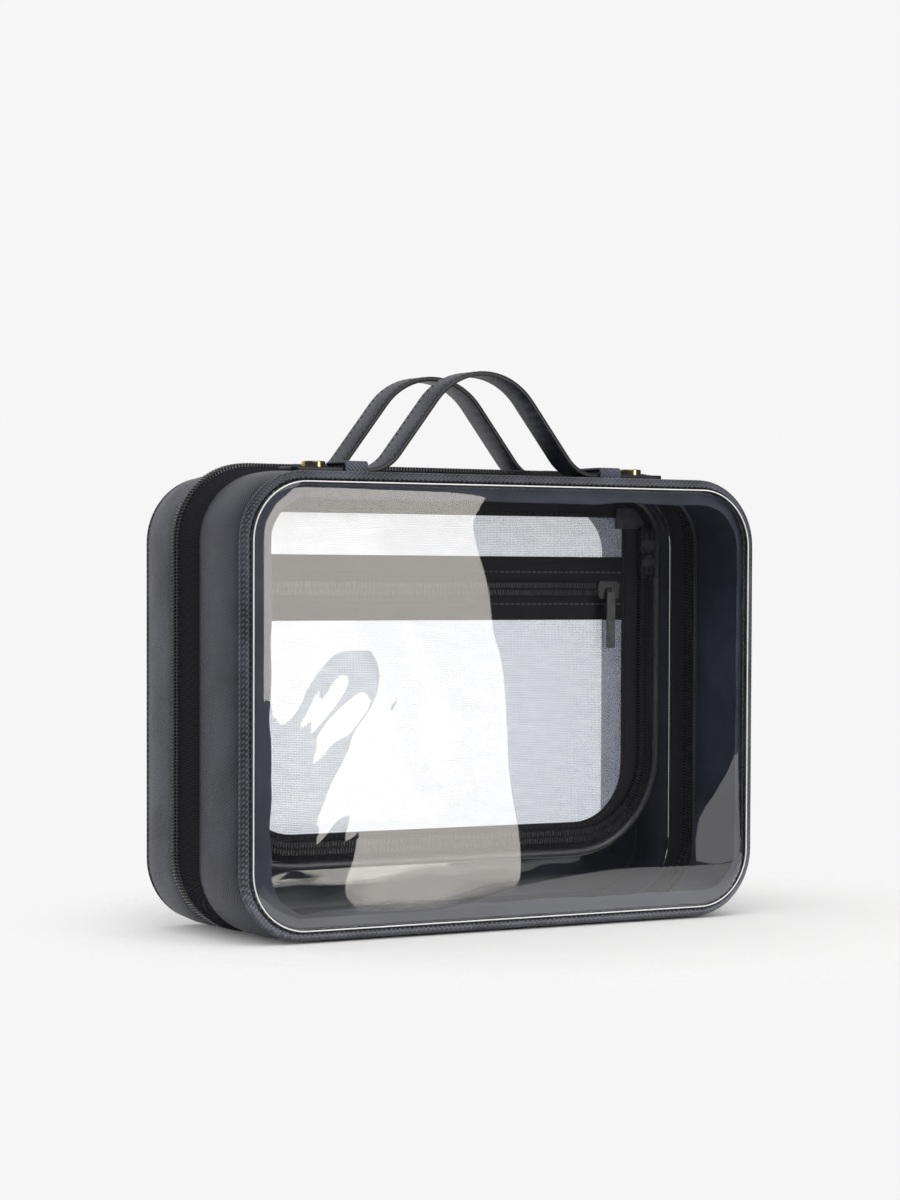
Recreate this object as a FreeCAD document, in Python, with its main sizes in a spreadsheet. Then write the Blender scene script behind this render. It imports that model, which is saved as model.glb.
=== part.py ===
import FreeCAD, Part
import math
import os
import Sketcher

# A clear-fronted two-tray train case with a zip all round, a zipped mesh
# divider and two strap handles. Millimetres, X to the viewer's right, the
# front at -Y, +Z up, the origin in the middle of the bottom face.

doc = FreeCAD.newDocument("train_case")
sheet = doc.addObject("Spreadsheet::Sheet", "Dimensions")

DIMENSIONS = [
    # The shell of the two trays
    ("case_width", 305),
    ("case_height", 229),
    ("case_depth", 108),
    ("corner_radius", 35),
    ("leather", 1.8),
    ("lining", 0.6),
    ("fit", 0.1),
    ("binding_depth", 5),
    ("binding_width", 4.5),
    ("binding_round", 3.8),
    ("window_film", 0.8),
    ("window_inset", 1.4),
    ("border_side", 26),
    ("border_end", 13),
    ("border_radius", 25),
    ("border_leather", 1.5),
    ("window_lap", 4),
    # The zip between the trays
    ("parting", 9),
    ("zip_rise", 3.5),
    ("zip_tape", 0.8),
    ("front_flange", 9),
    ("rear_flange", 4),
    ("chain_half", 4),
    ("coil_radius", 1.75),
    ("coil_gap", 0.25),
    ("zip_end_margin", 5.5),
    ("hinge_gap", 0.15),
    # The divider panel in the rear tray
    ("divider_depth", 18),
    ("panel_film", 0.8),
    ("piping_side", 13.5),
    ("piping_low", 30),
    ("piping_drop", 7.5),
    ("piping_low_radius", 53),
    ("piping_high_radius", 22),
    ("piping_radius", 2),
    ("chain_inset", 9),
    ("inner_coil_radius", 1.7),
    ("inner_coil_gap", 0.2),
    ("flap_tape_side", 13),
    ("flap_tape_low", 7),
    ("flap_drop", 12),
    ("flap_gap", 0.6),
    ("flap_top_radius", 16),
    ("mesh_top_radius", 8),
    ("mesh_lap", 4),
    ("mesh_sheet", 0.3),
    ("chain_drop", 25),
    ("tab_width", 18),
    ("tab_height", 11),
    ("tab_corner", 7),
    ("tab_leather", 1.2),
    # The pocket on the divider
    ("pocket_zip_drop", 58),
    ("pocket_band_below", 16),
    ("pocket_band_above", 17.7),
    ("pocket_zip_margin", 3.2),
    ("pocket_slider_park", 9),
    ("pocket_pull_length", 31),
    ("pocket_pull_width", 5),
    # The two handles
    ("strap_width", 17),
    ("strap_leather", 2.4),
    ("strap_end", 111),
    ("strap_foot", 68),
    ("strap_foot_radius", 22),
    ("strap_top_radius", 36),
    ("strap_rise", 53),
    ("strap_tip", 8),
    ("fold_place", 48),
    ("fold_gap", 0.3),
    ("front_strap_depth", 20),
    ("rear_strap_depth", 31),
    ("stud_place", 95),
    ("stud_radius", 6),
    ("stud_height", 3),
    ("stud_round", 0.6),
    ("keeper_place", 69.5),
    ("keeper_length", 13),
    ("keeper_leather", 1.4),
    ("keeper_slack", 0.6),
    ("keeper_round", 1.2),
    # The sliders and pulls
    ("slider_length", 13.6),
    ("slider_plate", 1),
    ("slider_round", 2.4),
    ("slider_play", 0.3),
    ("slider_wall", 0.8),
    ("slider_skirt", 1.2),
    ("skirt_length", 10),
    ("crown_width", 1.2),
    ("crown_reach", 2.8),
    ("crown_post", 1.2),
    ("crown_open", 1.6),
    ("crown_bar", 0.5),
    ("divider_pulls_drop", 38),
    ("slider_space", 0.4),
    ("bar_radius", 0.5),
    ("bar_play", 0.3),
    ("arm_width", 1),
    ("arm_play", 0.4),
    ("pull_leather", 1),
    ("pull_start", 4),
    ("spade_width", 9.6),
    ("spade_shoulder", 6.4),
    ("spade_length", 10.8),
    ("ring_radius", 1.15),
    ("ring_wire", 0.35),
]
for row, (alias, number) in enumerate(DIMENSIONS, start=1):
    sheet.set(f"A{row}", alias.replace("_", " "))
    sheet.set(f"B{row}", str(number))
    sheet.setAlias(f"B{row}", alias)
doc.recompute()


class Size:
    """A length that keeps its number together with its formula in the sheet."""

    def __init__(self, number, formula):
        self.number = number
        self.formula = formula

    def joined(self, sign, other, number):
        return Size(number, f"({self.formula} {sign} {as_size(other).formula})")

    def __add__(self, other):
        return self.joined("+", other, self.number + as_size(other).number)

    def __sub__(self, other):
        return self.joined("-", other, self.number - as_size(other).number)

    def __mul__(self, other):
        return self.joined("*", other, self.number * as_size(other).number)

    def __truediv__(self, other):
        return self.joined("/", other, self.number / as_size(other).number)

    def __neg__(self):
        return Size(-self.number, f"(-1 * {self.formula})")


def as_size(value):
    if isinstance(value, Size):
        return value
    return Size(float(value), str(float(value)))


class SheetSizes:
    """Reads each named dimension of the sheet as a Size."""

    def __getattr__(self, alias):
        return Size(float(sheet.get(alias)), f"Dimensions.{alias}")


size = SheetSizes()


class Outline:
    """A rounded rectangle, alike on both sides of its middle line."""

    def __init__(self, half_width, low, high, low_radius, high_radius):
        self.half_width = as_size(half_width)
        self.low = as_size(low)
        self.high = as_size(high)
        self.low_radius = as_size(low_radius)
        self.high_radius = as_size(high_radius)

    def inset(self, distance):
        return Outline(
            self.half_width - distance,
            self.low + distance,
            self.high - distance,
            self.low_radius - distance,
            self.high_radius - distance,
        )


ORIGIN = (-1, 1)
SIDES = (-1, 1)


def vector(across, up):
    return FreeCAD.Vector(across, up, 0)


def bind(item, prop, value):
    item.setExpression(prop, as_size(value).formula)


def new_body(name):
    return doc.addObject("PartDesign::Body", name)


def new_sketch(body, name, role, offset):
    """A sketch on one of the body's own planes, moved along its normal."""
    plane = [item for item in body.Origin.OriginFeatures if item.Role == role][0]
    sketch = body.newObject("Sketcher::SketchObject", f"{body.Name}_{name}")
    sketch.AttachmentSupport = [(plane, "")]
    sketch.MapMode = "FlatFace"
    bind(sketch, "AttachmentOffset.Base.z", offset)
    return sketch


def drive(sketch, value, kind, *where):
    """Adds a dimension to a sketch and ties it to the sheet."""
    index = sketch.addConstraint(Sketcher.Constraint(kind, *where, value.number))
    name = f"{kind}_{index}"
    sketch.renameConstraint(index, name)
    bind(sketch, f"Constraints.{name}", value)


def drive_point(sketch, curve, end, across, up):
    """Ties a point of a curve to its place from the sketch's origin."""
    for kind, axis, value in (("DistanceX", -2, as_size(across)), ("DistanceY", -1, as_size(up))):
        if value.number > 0:
            drive(sketch, value, kind, *ORIGIN, curve, end)
        elif value.number < 0:
            drive(sketch, -value, kind, curve, end, *ORIGIN)
        else:
            sketch.addConstraint(Sketcher.Constraint("PointOnObject", curve, end, axis))


def arc(across, up, radius, start, end):
    circle = Part.Circle(vector(across, up), FreeCAD.Vector(0, 0, 1), radius)
    return Part.ArcOfCircle(circle, math.radians(start), math.radians(end))


def draw_outline(sketch, outline):
    """Draws a closed rounded rectangle with its sizes driven by the sheet."""
    side = outline.half_width.number
    low = outline.low.number
    high = outline.high.number
    below = outline.low_radius.number
    above = outline.high_radius.number
    first = sketch.GeometryCount
    sketch.addGeometry([
        Part.LineSegment(vector(below - side, low), vector(side - below, low)),
        arc(side - below, low + below, below, 270, 360),
        Part.LineSegment(vector(side, low + below), vector(side, high - above)),
        arc(side - above, high - above, above, 0, 90),
        Part.LineSegment(vector(side - above, high), vector(above - side, high)),
        arc(above - side, high - above, above, 90, 180),
        Part.LineSegment(vector(-side, high - above), vector(-side, low + below)),
        arc(below - side, low + below, below, 180, 270),
    ])
    for step in range(8):
        after = first + (step + 1) % 8
        sketch.addConstraint(Sketcher.Constraint("Tangent", first + step, 2, after, 1))
    for step, kind in ((0, "Horizontal"), (2, "Vertical"), (4, "Horizontal"), (6, "Vertical")):
        sketch.addConstraint(Sketcher.Constraint(kind, first + step))
    sketch.addConstraint(Sketcher.Constraint("Equal", first + 1, first + 7))
    sketch.addConstraint(Sketcher.Constraint("Equal", first + 3, first + 5))
    drive(sketch, outline.low_radius, "Radius", first + 1)
    drive(sketch, outline.high_radius, "Radius", first + 3)
    drive(sketch, outline.half_width, "DistanceX", *ORIGIN, first + 2, 1)
    drive(sketch, outline.half_width, "DistanceX", first + 6, 1, *ORIGIN)
    drive(sketch, outline.high, "DistanceY", *ORIGIN, first + 4, 1)
    drive(sketch, outline.high - outline.low, "DistanceY", first, 1, first + 4, 1)


def draw_polygon(sketch, corners):
    """Draws a closed polygon with every corner driven by the sheet."""
    places = [vector(as_size(across).number, as_size(up).number) for across, up in corners]
    first = sketch.GeometryCount
    count = len(corners)
    for step in range(count):
        sketch.addGeometry(Part.LineSegment(places[step], places[(step + 1) % count]))
    for step in range(count):
        after = first + (step + 1) % count
        sketch.addConstraint(Sketcher.Constraint("Coincident", first + step, 2, after, 1))
    for step, (across, up) in enumerate(corners):
        drive_point(sketch, first + step, 1, across, up)


def draw_rectangle(sketch, left, right, low, high):
    draw_polygon(sketch, [(left, low), (right, low), (right, high), (left, high)])


def draw_circle(sketch, across, up, radius):
    first = sketch.GeometryCount
    middle = vector(as_size(across).number, as_size(up).number)
    sketch.addGeometry(Part.Circle(middle, FreeCAD.Vector(0, 0, 1), radius.number))
    drive(sketch, radius, "Radius", first)
    drive_point(sketch, first, 3, across, up)


def pad(sketch, length, backward=False):
    """Pads a sketch along its normal, or backward against it."""
    body = sketch.getParentGeoFeatureGroup()
    feature = body.newObject("PartDesign::Pad", f"{sketch.Name}_pad")
    feature.Profile = sketch
    feature.Reversed = backward
    bind(feature, "Length", length)
    return feature


def pocket(sketch, length, backward=False):
    """Cuts a sketch out of its body against its normal, or backward along it."""
    body = sketch.getParentGeoFeatureGroup()
    feature = body.newObject("PartDesign::Pocket", f"{sketch.Name}_pocket")
    feature.Profile = sketch
    feature.Reversed = backward
    bind(feature, "Length", length)
    return feature


def sweep(profile, path):
    """Sweeps a profile along all the edges of a path sketch."""
    body = profile.getParentGeoFeatureGroup()
    doc.recompute()
    feature = body.newObject("PartDesign::AdditivePipe", f"{path.Name}_sweep")
    feature.Profile = profile
    feature.Spine = (path, [f"Edge{number + 1}" for number in range(path.GeometryCount)])
    return feature


def round_off(body, radius, chosen):
    """Rounds the edges of a body that the test picks."""
    doc.recompute()
    tip = body.Tip
    names = [f"Edge{place}" for place, edge in enumerate(tip.Shape.Edges, start=1) if chosen(edge)]
    feature = body.newObject("PartDesign::Fillet", f"{body.Name}_rounded")
    feature.Base = (tip, names)
    bind(feature, "Radius", radius)
    return feature


def plate(name, outline, near, far, hole=None):
    """A sheet cut to an outline, reaching from one depth to another."""
    body = new_body(name)
    sketch = new_sketch(body, "outline", "XZ_Plane", -near)
    draw_outline(sketch, outline)
    if hole is not None:
        draw_outline(sketch, hole)
    pad(sketch, far - near, backward=True)
    return body


# Depths and outlines that several pieces share
front_face = -(size.case_depth / 2)
rear_face = size.case_depth / 2
front_seam = front_face + size.binding_depth
rear_seam = rear_face - size.binding_depth
front_chain = size.parting - size.chain_half
rear_chain = size.parting + size.chain_half
front_edge = front_chain - size.front_flange
rear_edge = rear_chain + size.rear_flange
half_width = size.case_width / 2
zip_end = half_width - size.corner_radius - size.zip_end_margin
case_outline = Outline(half_width, 0, size.case_height, size.corner_radius, size.corner_radius)
ridge_outline = Outline(
    half_width + size.zip_rise,
    0,
    size.case_height + size.zip_rise,
    size.corner_radius + size.zip_rise,
    size.corner_radius + size.zip_rise,
)
lining_outline = case_outline.inset(size.leather + size.fit)
lining_inside = lining_outline.inset(size.lining)

# Tray walls: a leather band round the sides of each tray, lined inside
front_gusset = plate("front_gusset", case_outline, front_seam, front_edge, case_outline.inset(size.leather))
rear_gusset = plate("rear_gusset", case_outline, rear_edge, rear_seam, case_outline.inset(size.leather))
front_lining = plate("front_lining", lining_outline, front_seam + size.fit, front_edge, lining_inside)
rear_lining = plate("rear_lining", lining_outline, rear_edge, rear_seam - size.fit, lining_inside)


def bound_edge(name, near, far, face):
    """A rolled leather binding that joins a tray's wall to its face."""
    body = plate(name, case_outline, near, far, case_outline.inset(size.binding_width))

    def is_rim(edge):
        box = edge.BoundBox
        on_face = max(abs(box.YMin - face.number), abs(box.YMax - face.number)) < 0.001
        on_side = max(-box.XMin, box.XMax) > half_width.number - 0.001
        on_end = box.ZMin < 0.001 or box.ZMax > size.case_height.number - 0.001
        return on_face and (on_side or on_end)

    round_off(body, size.binding_round, is_rim)
    return body


front_binding = bound_edge("front_binding", front_face, front_seam, front_face)
rear_binding = bound_edge("rear_binding", rear_seam, rear_face, rear_face)

# Faces: the clear front window, the rear leather border and its clear window
face_outline = case_outline.inset(size.binding_width + size.fit)
window_near = front_face + size.window_inset
front_window = plate("front_window", face_outline, window_near, window_near + size.window_film)
border_hole = Outline(
    half_width - size.border_side,
    size.border_end,
    size.case_height - size.border_end,
    size.border_radius,
    size.border_radius,
)
border_near = rear_face - size.window_inset - size.border_leather
rear_border = plate("rear_border", face_outline, border_near, border_near + size.border_leather, border_hole)
rear_window_far = border_near - size.fit
rear_window = plate(
    "rear_window", border_hole.inset(-size.window_lap), rear_window_far - size.window_film, rear_window_far
)


def zip_flange(name, low_depth, high_depth, tray_depth, ridge_depth):
    """A zip tape that slopes from a tray's edge up to the proud chain."""
    body = new_body(name)
    for kind, inset in (("AdditiveLoft", as_size(0)), ("SubtractiveLoft", size.zip_tape)):
        tray_sketch = new_sketch(body, f"{kind}_tray", "XZ_Plane", -tray_depth)
        draw_outline(tray_sketch, case_outline.inset(inset))
        ridge_sketch = new_sketch(body, f"{kind}_ridge", "XZ_Plane", -ridge_depth)
        draw_outline(ridge_sketch, ridge_outline.inset(inset))
        loft = body.newObject(f"PartDesign::{kind}", f"{name}_{kind}")
        loft.Profile = tray_sketch
        loft.Sections = [ridge_sketch]
        loft.Ruled = True
    gap_sketch = new_sketch(body, "hinge_gap", "XZ_Plane", -low_depth)
    draw_rectangle(gap_sketch, -zip_end, zip_end, -size.leather, size.leather)
    pocket(gap_sketch, high_depth - low_depth)
    return body


front_zip_tape = zip_flange("front_zip_tape", front_edge, front_chain, front_edge, front_chain)
rear_zip_tape = zip_flange("rear_zip_tape", rear_chain, rear_edge, rear_edge, rear_chain)

coil_line = Outline(
    half_width + size.zip_rise - size.zip_tape / 2,
    size.coil_radius,
    size.case_height + size.zip_rise - size.zip_tape / 2,
    size.corner_radius + size.zip_rise - size.zip_tape / 2,
    size.corner_radius + size.zip_rise - size.zip_tape / 2,
)


def draw_chain_path(sketch, outline, stop):
    """Draws the run of the main chain, from one end below to the other."""
    side = outline.half_width.number
    low = outline.low.number
    high = outline.high.number
    bend = outline.high_radius.number
    end = stop.number
    sketch.addGeometry([
        Part.LineSegment(vector(-end, low), vector(bend - side, low)),
        arc(bend - side, low + bend, bend, 180, 270),
        Part.LineSegment(vector(-side, low + bend), vector(-side, high - bend)),
        arc(bend - side, high - bend, bend, 90, 180),
        Part.LineSegment(vector(bend - side, high), vector(side - bend, high)),
        arc(side - bend, high - bend, bend, 0, 90),
        Part.LineSegment(vector(side, high - bend), vector(side, low + bend)),
        arc(side - bend, low + bend, bend, 270, 360),
        Part.LineSegment(vector(side - bend, low), vector(end, low)),
    ])
    for curve in (1, 3, 5, 7):
        sketch.addConstraint(Sketcher.Constraint("Tangent", curve - 1, 2, curve, 2))
        sketch.addConstraint(Sketcher.Constraint("Tangent", curve, 1, curve + 1, 1))
    for curve, kind in enumerate(("Horizontal", "Vertical", "Horizontal", "Vertical", "Horizontal")):
        sketch.addConstraint(Sketcher.Constraint(kind, 2 * curve))
    for curve in (3, 5, 7):
        sketch.addConstraint(Sketcher.Constraint("Equal", 1, curve))
    drive(sketch, outline.high_radius, "Radius", 1)
    drive(sketch, outline.half_width, "DistanceX", 2, 1, *ORIGIN)
    drive(sketch, outline.half_width, "DistanceX", *ORIGIN, 6, 1)
    drive(sketch, outline.high, "DistanceY", *ORIGIN, 4, 1)
    drive_point(sketch, 0, 1, -stop, outline.low)
    drive_point(sketch, 8, 2, stop, outline.low)


def main_coil(name, depth):
    """One half of the main coil, swept round the ridge between the trays."""
    body = new_body(name)
    path = new_sketch(body, "path", "XZ_Plane", -depth)
    draw_chain_path(path, coil_line, zip_end)
    profile = new_sketch(body, "profile", "YZ_Plane", -zip_end)
    draw_circle(profile, depth, size.coil_radius, size.coil_radius)
    sweep(profile, path)
    return body


coil_offset = size.coil_radius + size.coil_gap
front_zip_coil = main_coil("front_zip_coil", size.parting - coil_offset)
rear_zip_coil = main_coil("rear_zip_coil", size.parting + coil_offset)


def hinge_half(name, near, far):
    """One half of the leather strip that joins the trays along the bottom."""
    body = new_body(name)
    sketch = new_sketch(body, "plan", "XY_Plane", as_size(0))
    reach = zip_end - size.fit
    draw_rectangle(sketch, -reach, reach, near, far)
    pad(sketch, size.leather)
    return body


front_hinge_strip = hinge_half("front_hinge_strip", front_edge + size.fit, size.parting - size.hinge_gap)
rear_hinge_strip = hinge_half("rear_hinge_strip", size.parting + size.hinge_gap, rear_edge - size.fit)

# Divider: a clear border inside the rear tray, a piped edge and a zip tape
divider_near = size.divider_depth - size.panel_film / 2
divider_far = size.divider_depth + size.panel_film / 2
piping_line = Outline(
    half_width - size.piping_side,
    size.piping_low,
    size.case_height - size.piping_drop,
    size.piping_low_radius,
    size.piping_high_radius,
)
chain_line = piping_line.inset(size.chain_inset)
flap_top = size.case_height - size.flap_drop
chain_top = size.case_height - size.chain_drop
seam = size.piping_radius + size.fit
divider_border = plate(
    "divider_border", lining_inside.inset(size.fit), divider_near, divider_far, piping_line.inset(-seam)
)

divider_piping = new_body("divider_piping")
piping_path = new_sketch(divider_piping, "path", "XZ_Plane", -size.divider_depth)
draw_outline(piping_path, piping_line)
piping_start = piping_line.low_radius - piping_line.half_width
piping_profile = new_sketch(divider_piping, "profile", "YZ_Plane", piping_start)
draw_circle(piping_profile, size.divider_depth, size.piping_low, size.piping_radius)
sweep(piping_profile, piping_path)

tape_part = size.flap_gap / 2
flap_edge = chain_line.inset(tape_part)
outer_tape_hole = Outline(
    chain_line.half_width + tape_part,
    chain_line.low - tape_part,
    flap_top + size.flap_gap,
    chain_line.low_radius + tape_part,
    size.flap_top_radius + size.flap_gap,
)
divider_outer_tape = plate(
    "divider_outer_tape", piping_line.inset(seam), divider_near, divider_far, outer_tape_hole
)


def draw_cup_path(sketch, outline, top):
    """Draws the run of the divider's chain: down, along the bottom and up."""
    side = outline.half_width.number
    low = outline.low.number
    bend = outline.low_radius.number
    sketch.addGeometry([
        Part.LineSegment(vector(-side, top.number), vector(-side, low + bend)),
        arc(bend - side, low + bend, bend, 180, 270),
        Part.LineSegment(vector(bend - side, low), vector(side - bend, low)),
        arc(side - bend, low + bend, bend, 270, 360),
        Part.LineSegment(vector(side, low + bend), vector(side, top.number)),
    ])
    for step in range(4):
        sketch.addConstraint(Sketcher.Constraint("Tangent", step, 2, step + 1, 1))
    for step, kind in ((0, "Vertical"), (2, "Horizontal"), (4, "Vertical")):
        sketch.addConstraint(Sketcher.Constraint(kind, step))
    sketch.addConstraint(Sketcher.Constraint("Equal", 1, 3))
    drive(sketch, outline.low_radius, "Radius", 1)
    drive(sketch, outline.low, "DistanceY", *ORIGIN, 2, 1)
    drive_point(sketch, 0, 1, -outline.half_width, top)
    drive_point(sketch, 4, 2, outline.half_width, top)


inner_coil_depth = divider_near - size.fit - size.inner_coil_radius


def divider_coil(name, outline):
    """One half of the divider's coil, sewn on the front of its tape."""
    body = new_body(name)
    path = new_sketch(body, "path", "XZ_Plane", -inner_coil_depth)
    draw_cup_path(path, outline, chain_top)
    profile = new_sketch(body, "profile", "XY_Plane", chain_top)
    draw_circle(profile, -outline.half_width, inner_coil_depth, size.inner_coil_radius)
    sweep(profile, path)
    return body


inner_coil_offset = size.inner_coil_radius + size.inner_coil_gap
divider_outer_coil = divider_coil("divider_outer_coil", chain_line.inset(-inner_coil_offset))
flap_coil = divider_coil("flap_coil", chain_line.inset(inner_coil_offset))

# Mesh flap: it hangs from the top of the divider, inside the zip
flap_outline = Outline(
    flap_edge.half_width, flap_edge.low, flap_top, flap_edge.low_radius, size.flap_top_radius
)
mesh_hole = Outline(
    flap_edge.half_width - size.flap_tape_side,
    flap_edge.low + size.flap_tape_low,
    flap_top - size.flap_tape_low,
    flap_edge.low_radius - size.flap_tape_side,
    size.mesh_top_radius,
)
mesh_outline = Outline(
    mesh_hole.half_width + size.mesh_lap,
    mesh_hole.low - size.mesh_lap,
    mesh_hole.high + size.mesh_lap,
    mesh_hole.low_radius + size.mesh_lap,
    size.mesh_top_radius + size.mesh_lap,
)
flap_tape = plate("flap_tape", flap_outline, divider_near, divider_far, mesh_hole)
mesh_near = divider_far + size.fit
mesh_panel = plate("mesh_panel", mesh_outline, mesh_near, mesh_near + size.mesh_sheet)
back_near = mesh_near + size.mesh_sheet + size.fit
pocket_back = plate("pocket_back", mesh_outline, back_near, back_near + size.mesh_sheet)

flap_end_tabs = new_body("flap_end_tabs")
tab_sketch = new_sketch(flap_end_tabs, "front", "XZ_Plane", -(divider_near - size.tab_leather))
tab_low = chain_top + size.fit
tab_high = tab_low + size.tab_height
tab_outside = flap_edge.half_width
tab_inside = tab_outside - size.tab_width
for side in SIDES:
    draw_polygon(tab_sketch, [
        (tab_inside * side, tab_low),
        (tab_outside * side, tab_low),
        (tab_outside * side, tab_high - size.tab_corner),
        ((tab_outside - size.tab_corner) * side, tab_high),
        (tab_inside * side, tab_high),
    ])
pad(tab_sketch, size.tab_leather, backward=True)

# Pocket zip across the mesh
pocket_band = new_body("pocket_band")
band_sketch = new_sketch(pocket_band, "front", "XZ_Plane", -divider_near)
band_reach = mesh_hole.half_width - size.fit
pocket_zip_height = size.case_height - size.pocket_zip_drop
draw_rectangle(
    band_sketch,
    -band_reach,
    band_reach,
    pocket_zip_height - size.pocket_band_below,
    pocket_zip_height + size.pocket_band_above,
)
pad(band_sketch, size.panel_film, backward=True)

pocket_coil = new_body("pocket_coil")
pocket_zip_half = mesh_hole.half_width - size.pocket_zip_margin
coil_sketch = new_sketch(pocket_coil, "section", "YZ_Plane", -pocket_zip_half)
for height in (pocket_zip_height - inner_coil_offset, pocket_zip_height + inner_coil_offset):
    draw_circle(coil_sketch, inner_coil_depth, height, size.inner_coil_radius)
pad(coil_sketch, pocket_zip_half * 2)


# Handles: leather straps with a sewn-down end at each side and a free arch
strap_middle = size.case_height + size.strap_leather / 2
strap_apex = size.case_height + size.strap_rise
apex_middle = strap_apex - size.strap_leather / 2


def draw_strap_path(sketch):
    """Draws the middle line of a strap: flat end, foot, leg, arch and back."""
    top = size.strap_top_radius.number
    foot = size.strap_foot_radius.number
    reach = size.strap_foot.number
    end = size.strap_end.number
    base = strap_middle.number
    apex = apex_middle.number
    rise = apex - base
    radii = top + foot
    leg = math.sqrt(reach ** 2 + (rise - radii) ** 2 - radii ** 2)
    turn = math.degrees(math.atan2(reach, radii - rise) - math.atan2(leg, radii))
    slant = math.radians(turn)
    foot_place = vector(-reach + foot * math.sin(slant), base + foot * (1 - math.cos(slant)))
    arch_place = vector(-top * math.sin(slant), apex - top * (1 - math.cos(slant)))
    sketch.addGeometry([
        Part.LineSegment(vector(-end, base), vector(-reach, base)),
        arc(-reach, base + foot, foot, 270, 270 + turn),
        Part.LineSegment(foot_place, arch_place),
        arc(0, apex - top, top, 90 - turn, 90 + turn),
        Part.LineSegment(vector(-arch_place.x, arch_place.y), vector(-foot_place.x, foot_place.y)),
        arc(reach, base + foot, foot, 270 - turn, 270),
        Part.LineSegment(vector(reach, base), vector(end, base)),
    ])
    for one, one_end, two, two_end in (
        (0, 2, 1, 1),
        (1, 2, 2, 1),
        (2, 2, 3, 2),
        (3, 1, 4, 1),
        (4, 2, 5, 1),
        (5, 2, 6, 1),
    ):
        sketch.addConstraint(Sketcher.Constraint("Tangent", one, one_end, two, two_end))
    sketch.addConstraint(Sketcher.Constraint("Horizontal", 0))
    sketch.addConstraint(Sketcher.Constraint("Horizontal", 6))
    sketch.addConstraint(Sketcher.Constraint("Equal", 1, 5))
    drive(sketch, size.strap_foot_radius, "Radius", 1)
    drive(sketch, size.strap_top_radius, "Radius", 3)
    drive_point(sketch, 3, 3, 0, apex_middle - size.strap_top_radius)
    drive_point(sketch, 0, 1, -size.strap_end, strap_middle)
    drive_point(sketch, 6, 2, size.strap_end, strap_middle)
    drive(sketch, size.strap_foot, "DistanceX", 0, 2, *ORIGIN)
    drive(sketch, size.strap_foot, "DistanceX", *ORIGIN, 6, 1)


def strap(name, depth):
    """A whole strap, swept flat along its middle line."""
    body = new_body(name)
    path = new_sketch(body, "path", "XZ_Plane", -depth)
    draw_strap_path(path)
    profile = new_sketch(body, "profile", "YZ_Plane", -size.strap_end)
    half = size.strap_width / 2
    base = size.case_height
    draw_rectangle(profile, depth - half, depth + half, base, base + size.strap_leather)
    sweep(profile, path)
    return body


def strap_arch(name, depth):
    """The free arch of a strap, between the two places where it folds."""
    body = strap(name, depth)
    sketch = new_sketch(body, "ends", "XZ_Plane", -(depth - size.strap_width))
    inner = size.fold_place - size.fold_gap / 2
    outer = size.strap_end + size.strap_width
    draw_rectangle(sketch, -outer, -inner, size.case_height / 2, strap_apex)
    draw_rectangle(sketch, inner, outer, size.case_height / 2, strap_apex)
    pocket(sketch, size.strap_width * 2)
    return body


def strap_ends(name, depth):
    """The two ends of a strap, which stay down on the tray."""
    body = strap(name, depth)
    sketch = new_sketch(body, "arch", "XZ_Plane", -(depth - size.strap_width))
    outer = size.fold_place + size.fold_gap / 2
    draw_rectangle(sketch, -outer, outer, size.case_height / 2, strap_apex + size.strap_leather)
    pocket(sketch, size.strap_width * 2)

    def is_tip(edge):
        place = edge.CenterOfMass
        upright = abs(edge.BoundBox.ZLength - size.strap_leather.number) < 0.001
        return upright and abs(abs(place.x) - size.strap_end.number) < 0.001

    round_off(body, size.strap_tip, is_tip)
    return body


def studs(name, depth):
    """The polished studs that hold a strap's ends down."""
    body = new_body(name)
    base = size.case_height + size.strap_leather
    sketch = new_sketch(body, "plan", "XY_Plane", base)
    draw_circle(sketch, -size.stud_place, depth, size.stud_radius)
    draw_circle(sketch, size.stud_place, depth, size.stud_radius)
    pad(sketch, size.stud_height)
    top = (base + size.stud_height).number
    round_off(body, size.stud_round, lambda edge: edge.BoundBox.ZMin > top - 0.001)
    return body


def keepers(name, depth):
    """The leather loops over a strap's ends, sewn down at both sides."""
    body = new_body(name)
    inner = size.strap_width / 2 + size.keeper_slack
    outer = inner + size.keeper_leather
    base = size.case_height
    ceiling = base + size.strap_leather + size.keeper_slack
    roof = ceiling + size.keeper_leather
    for side, start in (("left", -size.keeper_place - size.keeper_length), ("right", size.keeper_place)):
        sketch = new_sketch(body, side, "YZ_Plane", start)
        draw_polygon(sketch, [
            (depth - outer, base),
            (depth - outer, roof),
            (depth + outer, roof),
            (depth + outer, base),
            (depth + inner, base),
            (depth + inner, ceiling),
            (depth - inner, ceiling),
            (depth - inner, base),
        ])
        pad(sketch, size.keeper_length)
    height = roof.number
    edge_reach = outer.number

    def is_shoulder(edge):
        place = edge.CenterOfMass
        along = edge.BoundBox.XLength > size.keeper_length.number - 0.001
        return along and place.z > height - 0.001 and abs(abs(place.y - depth.number) - edge_reach) < 0.001

    round_off(body, size.keeper_round, is_shoulder)
    return body


handle_nodes = []
for tray, depth in (("front", -size.front_strap_depth), ("rear", size.rear_strap_depth)):
    handle_nodes += [
        strap_arch(f"{tray}_handle_strap", depth),
        strap_ends(f"{tray}_handle_ends", depth),
        studs(f"{tray}_handle_studs", depth),
        keepers(f"{tray}_handle_keepers", depth),
    ]


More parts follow.
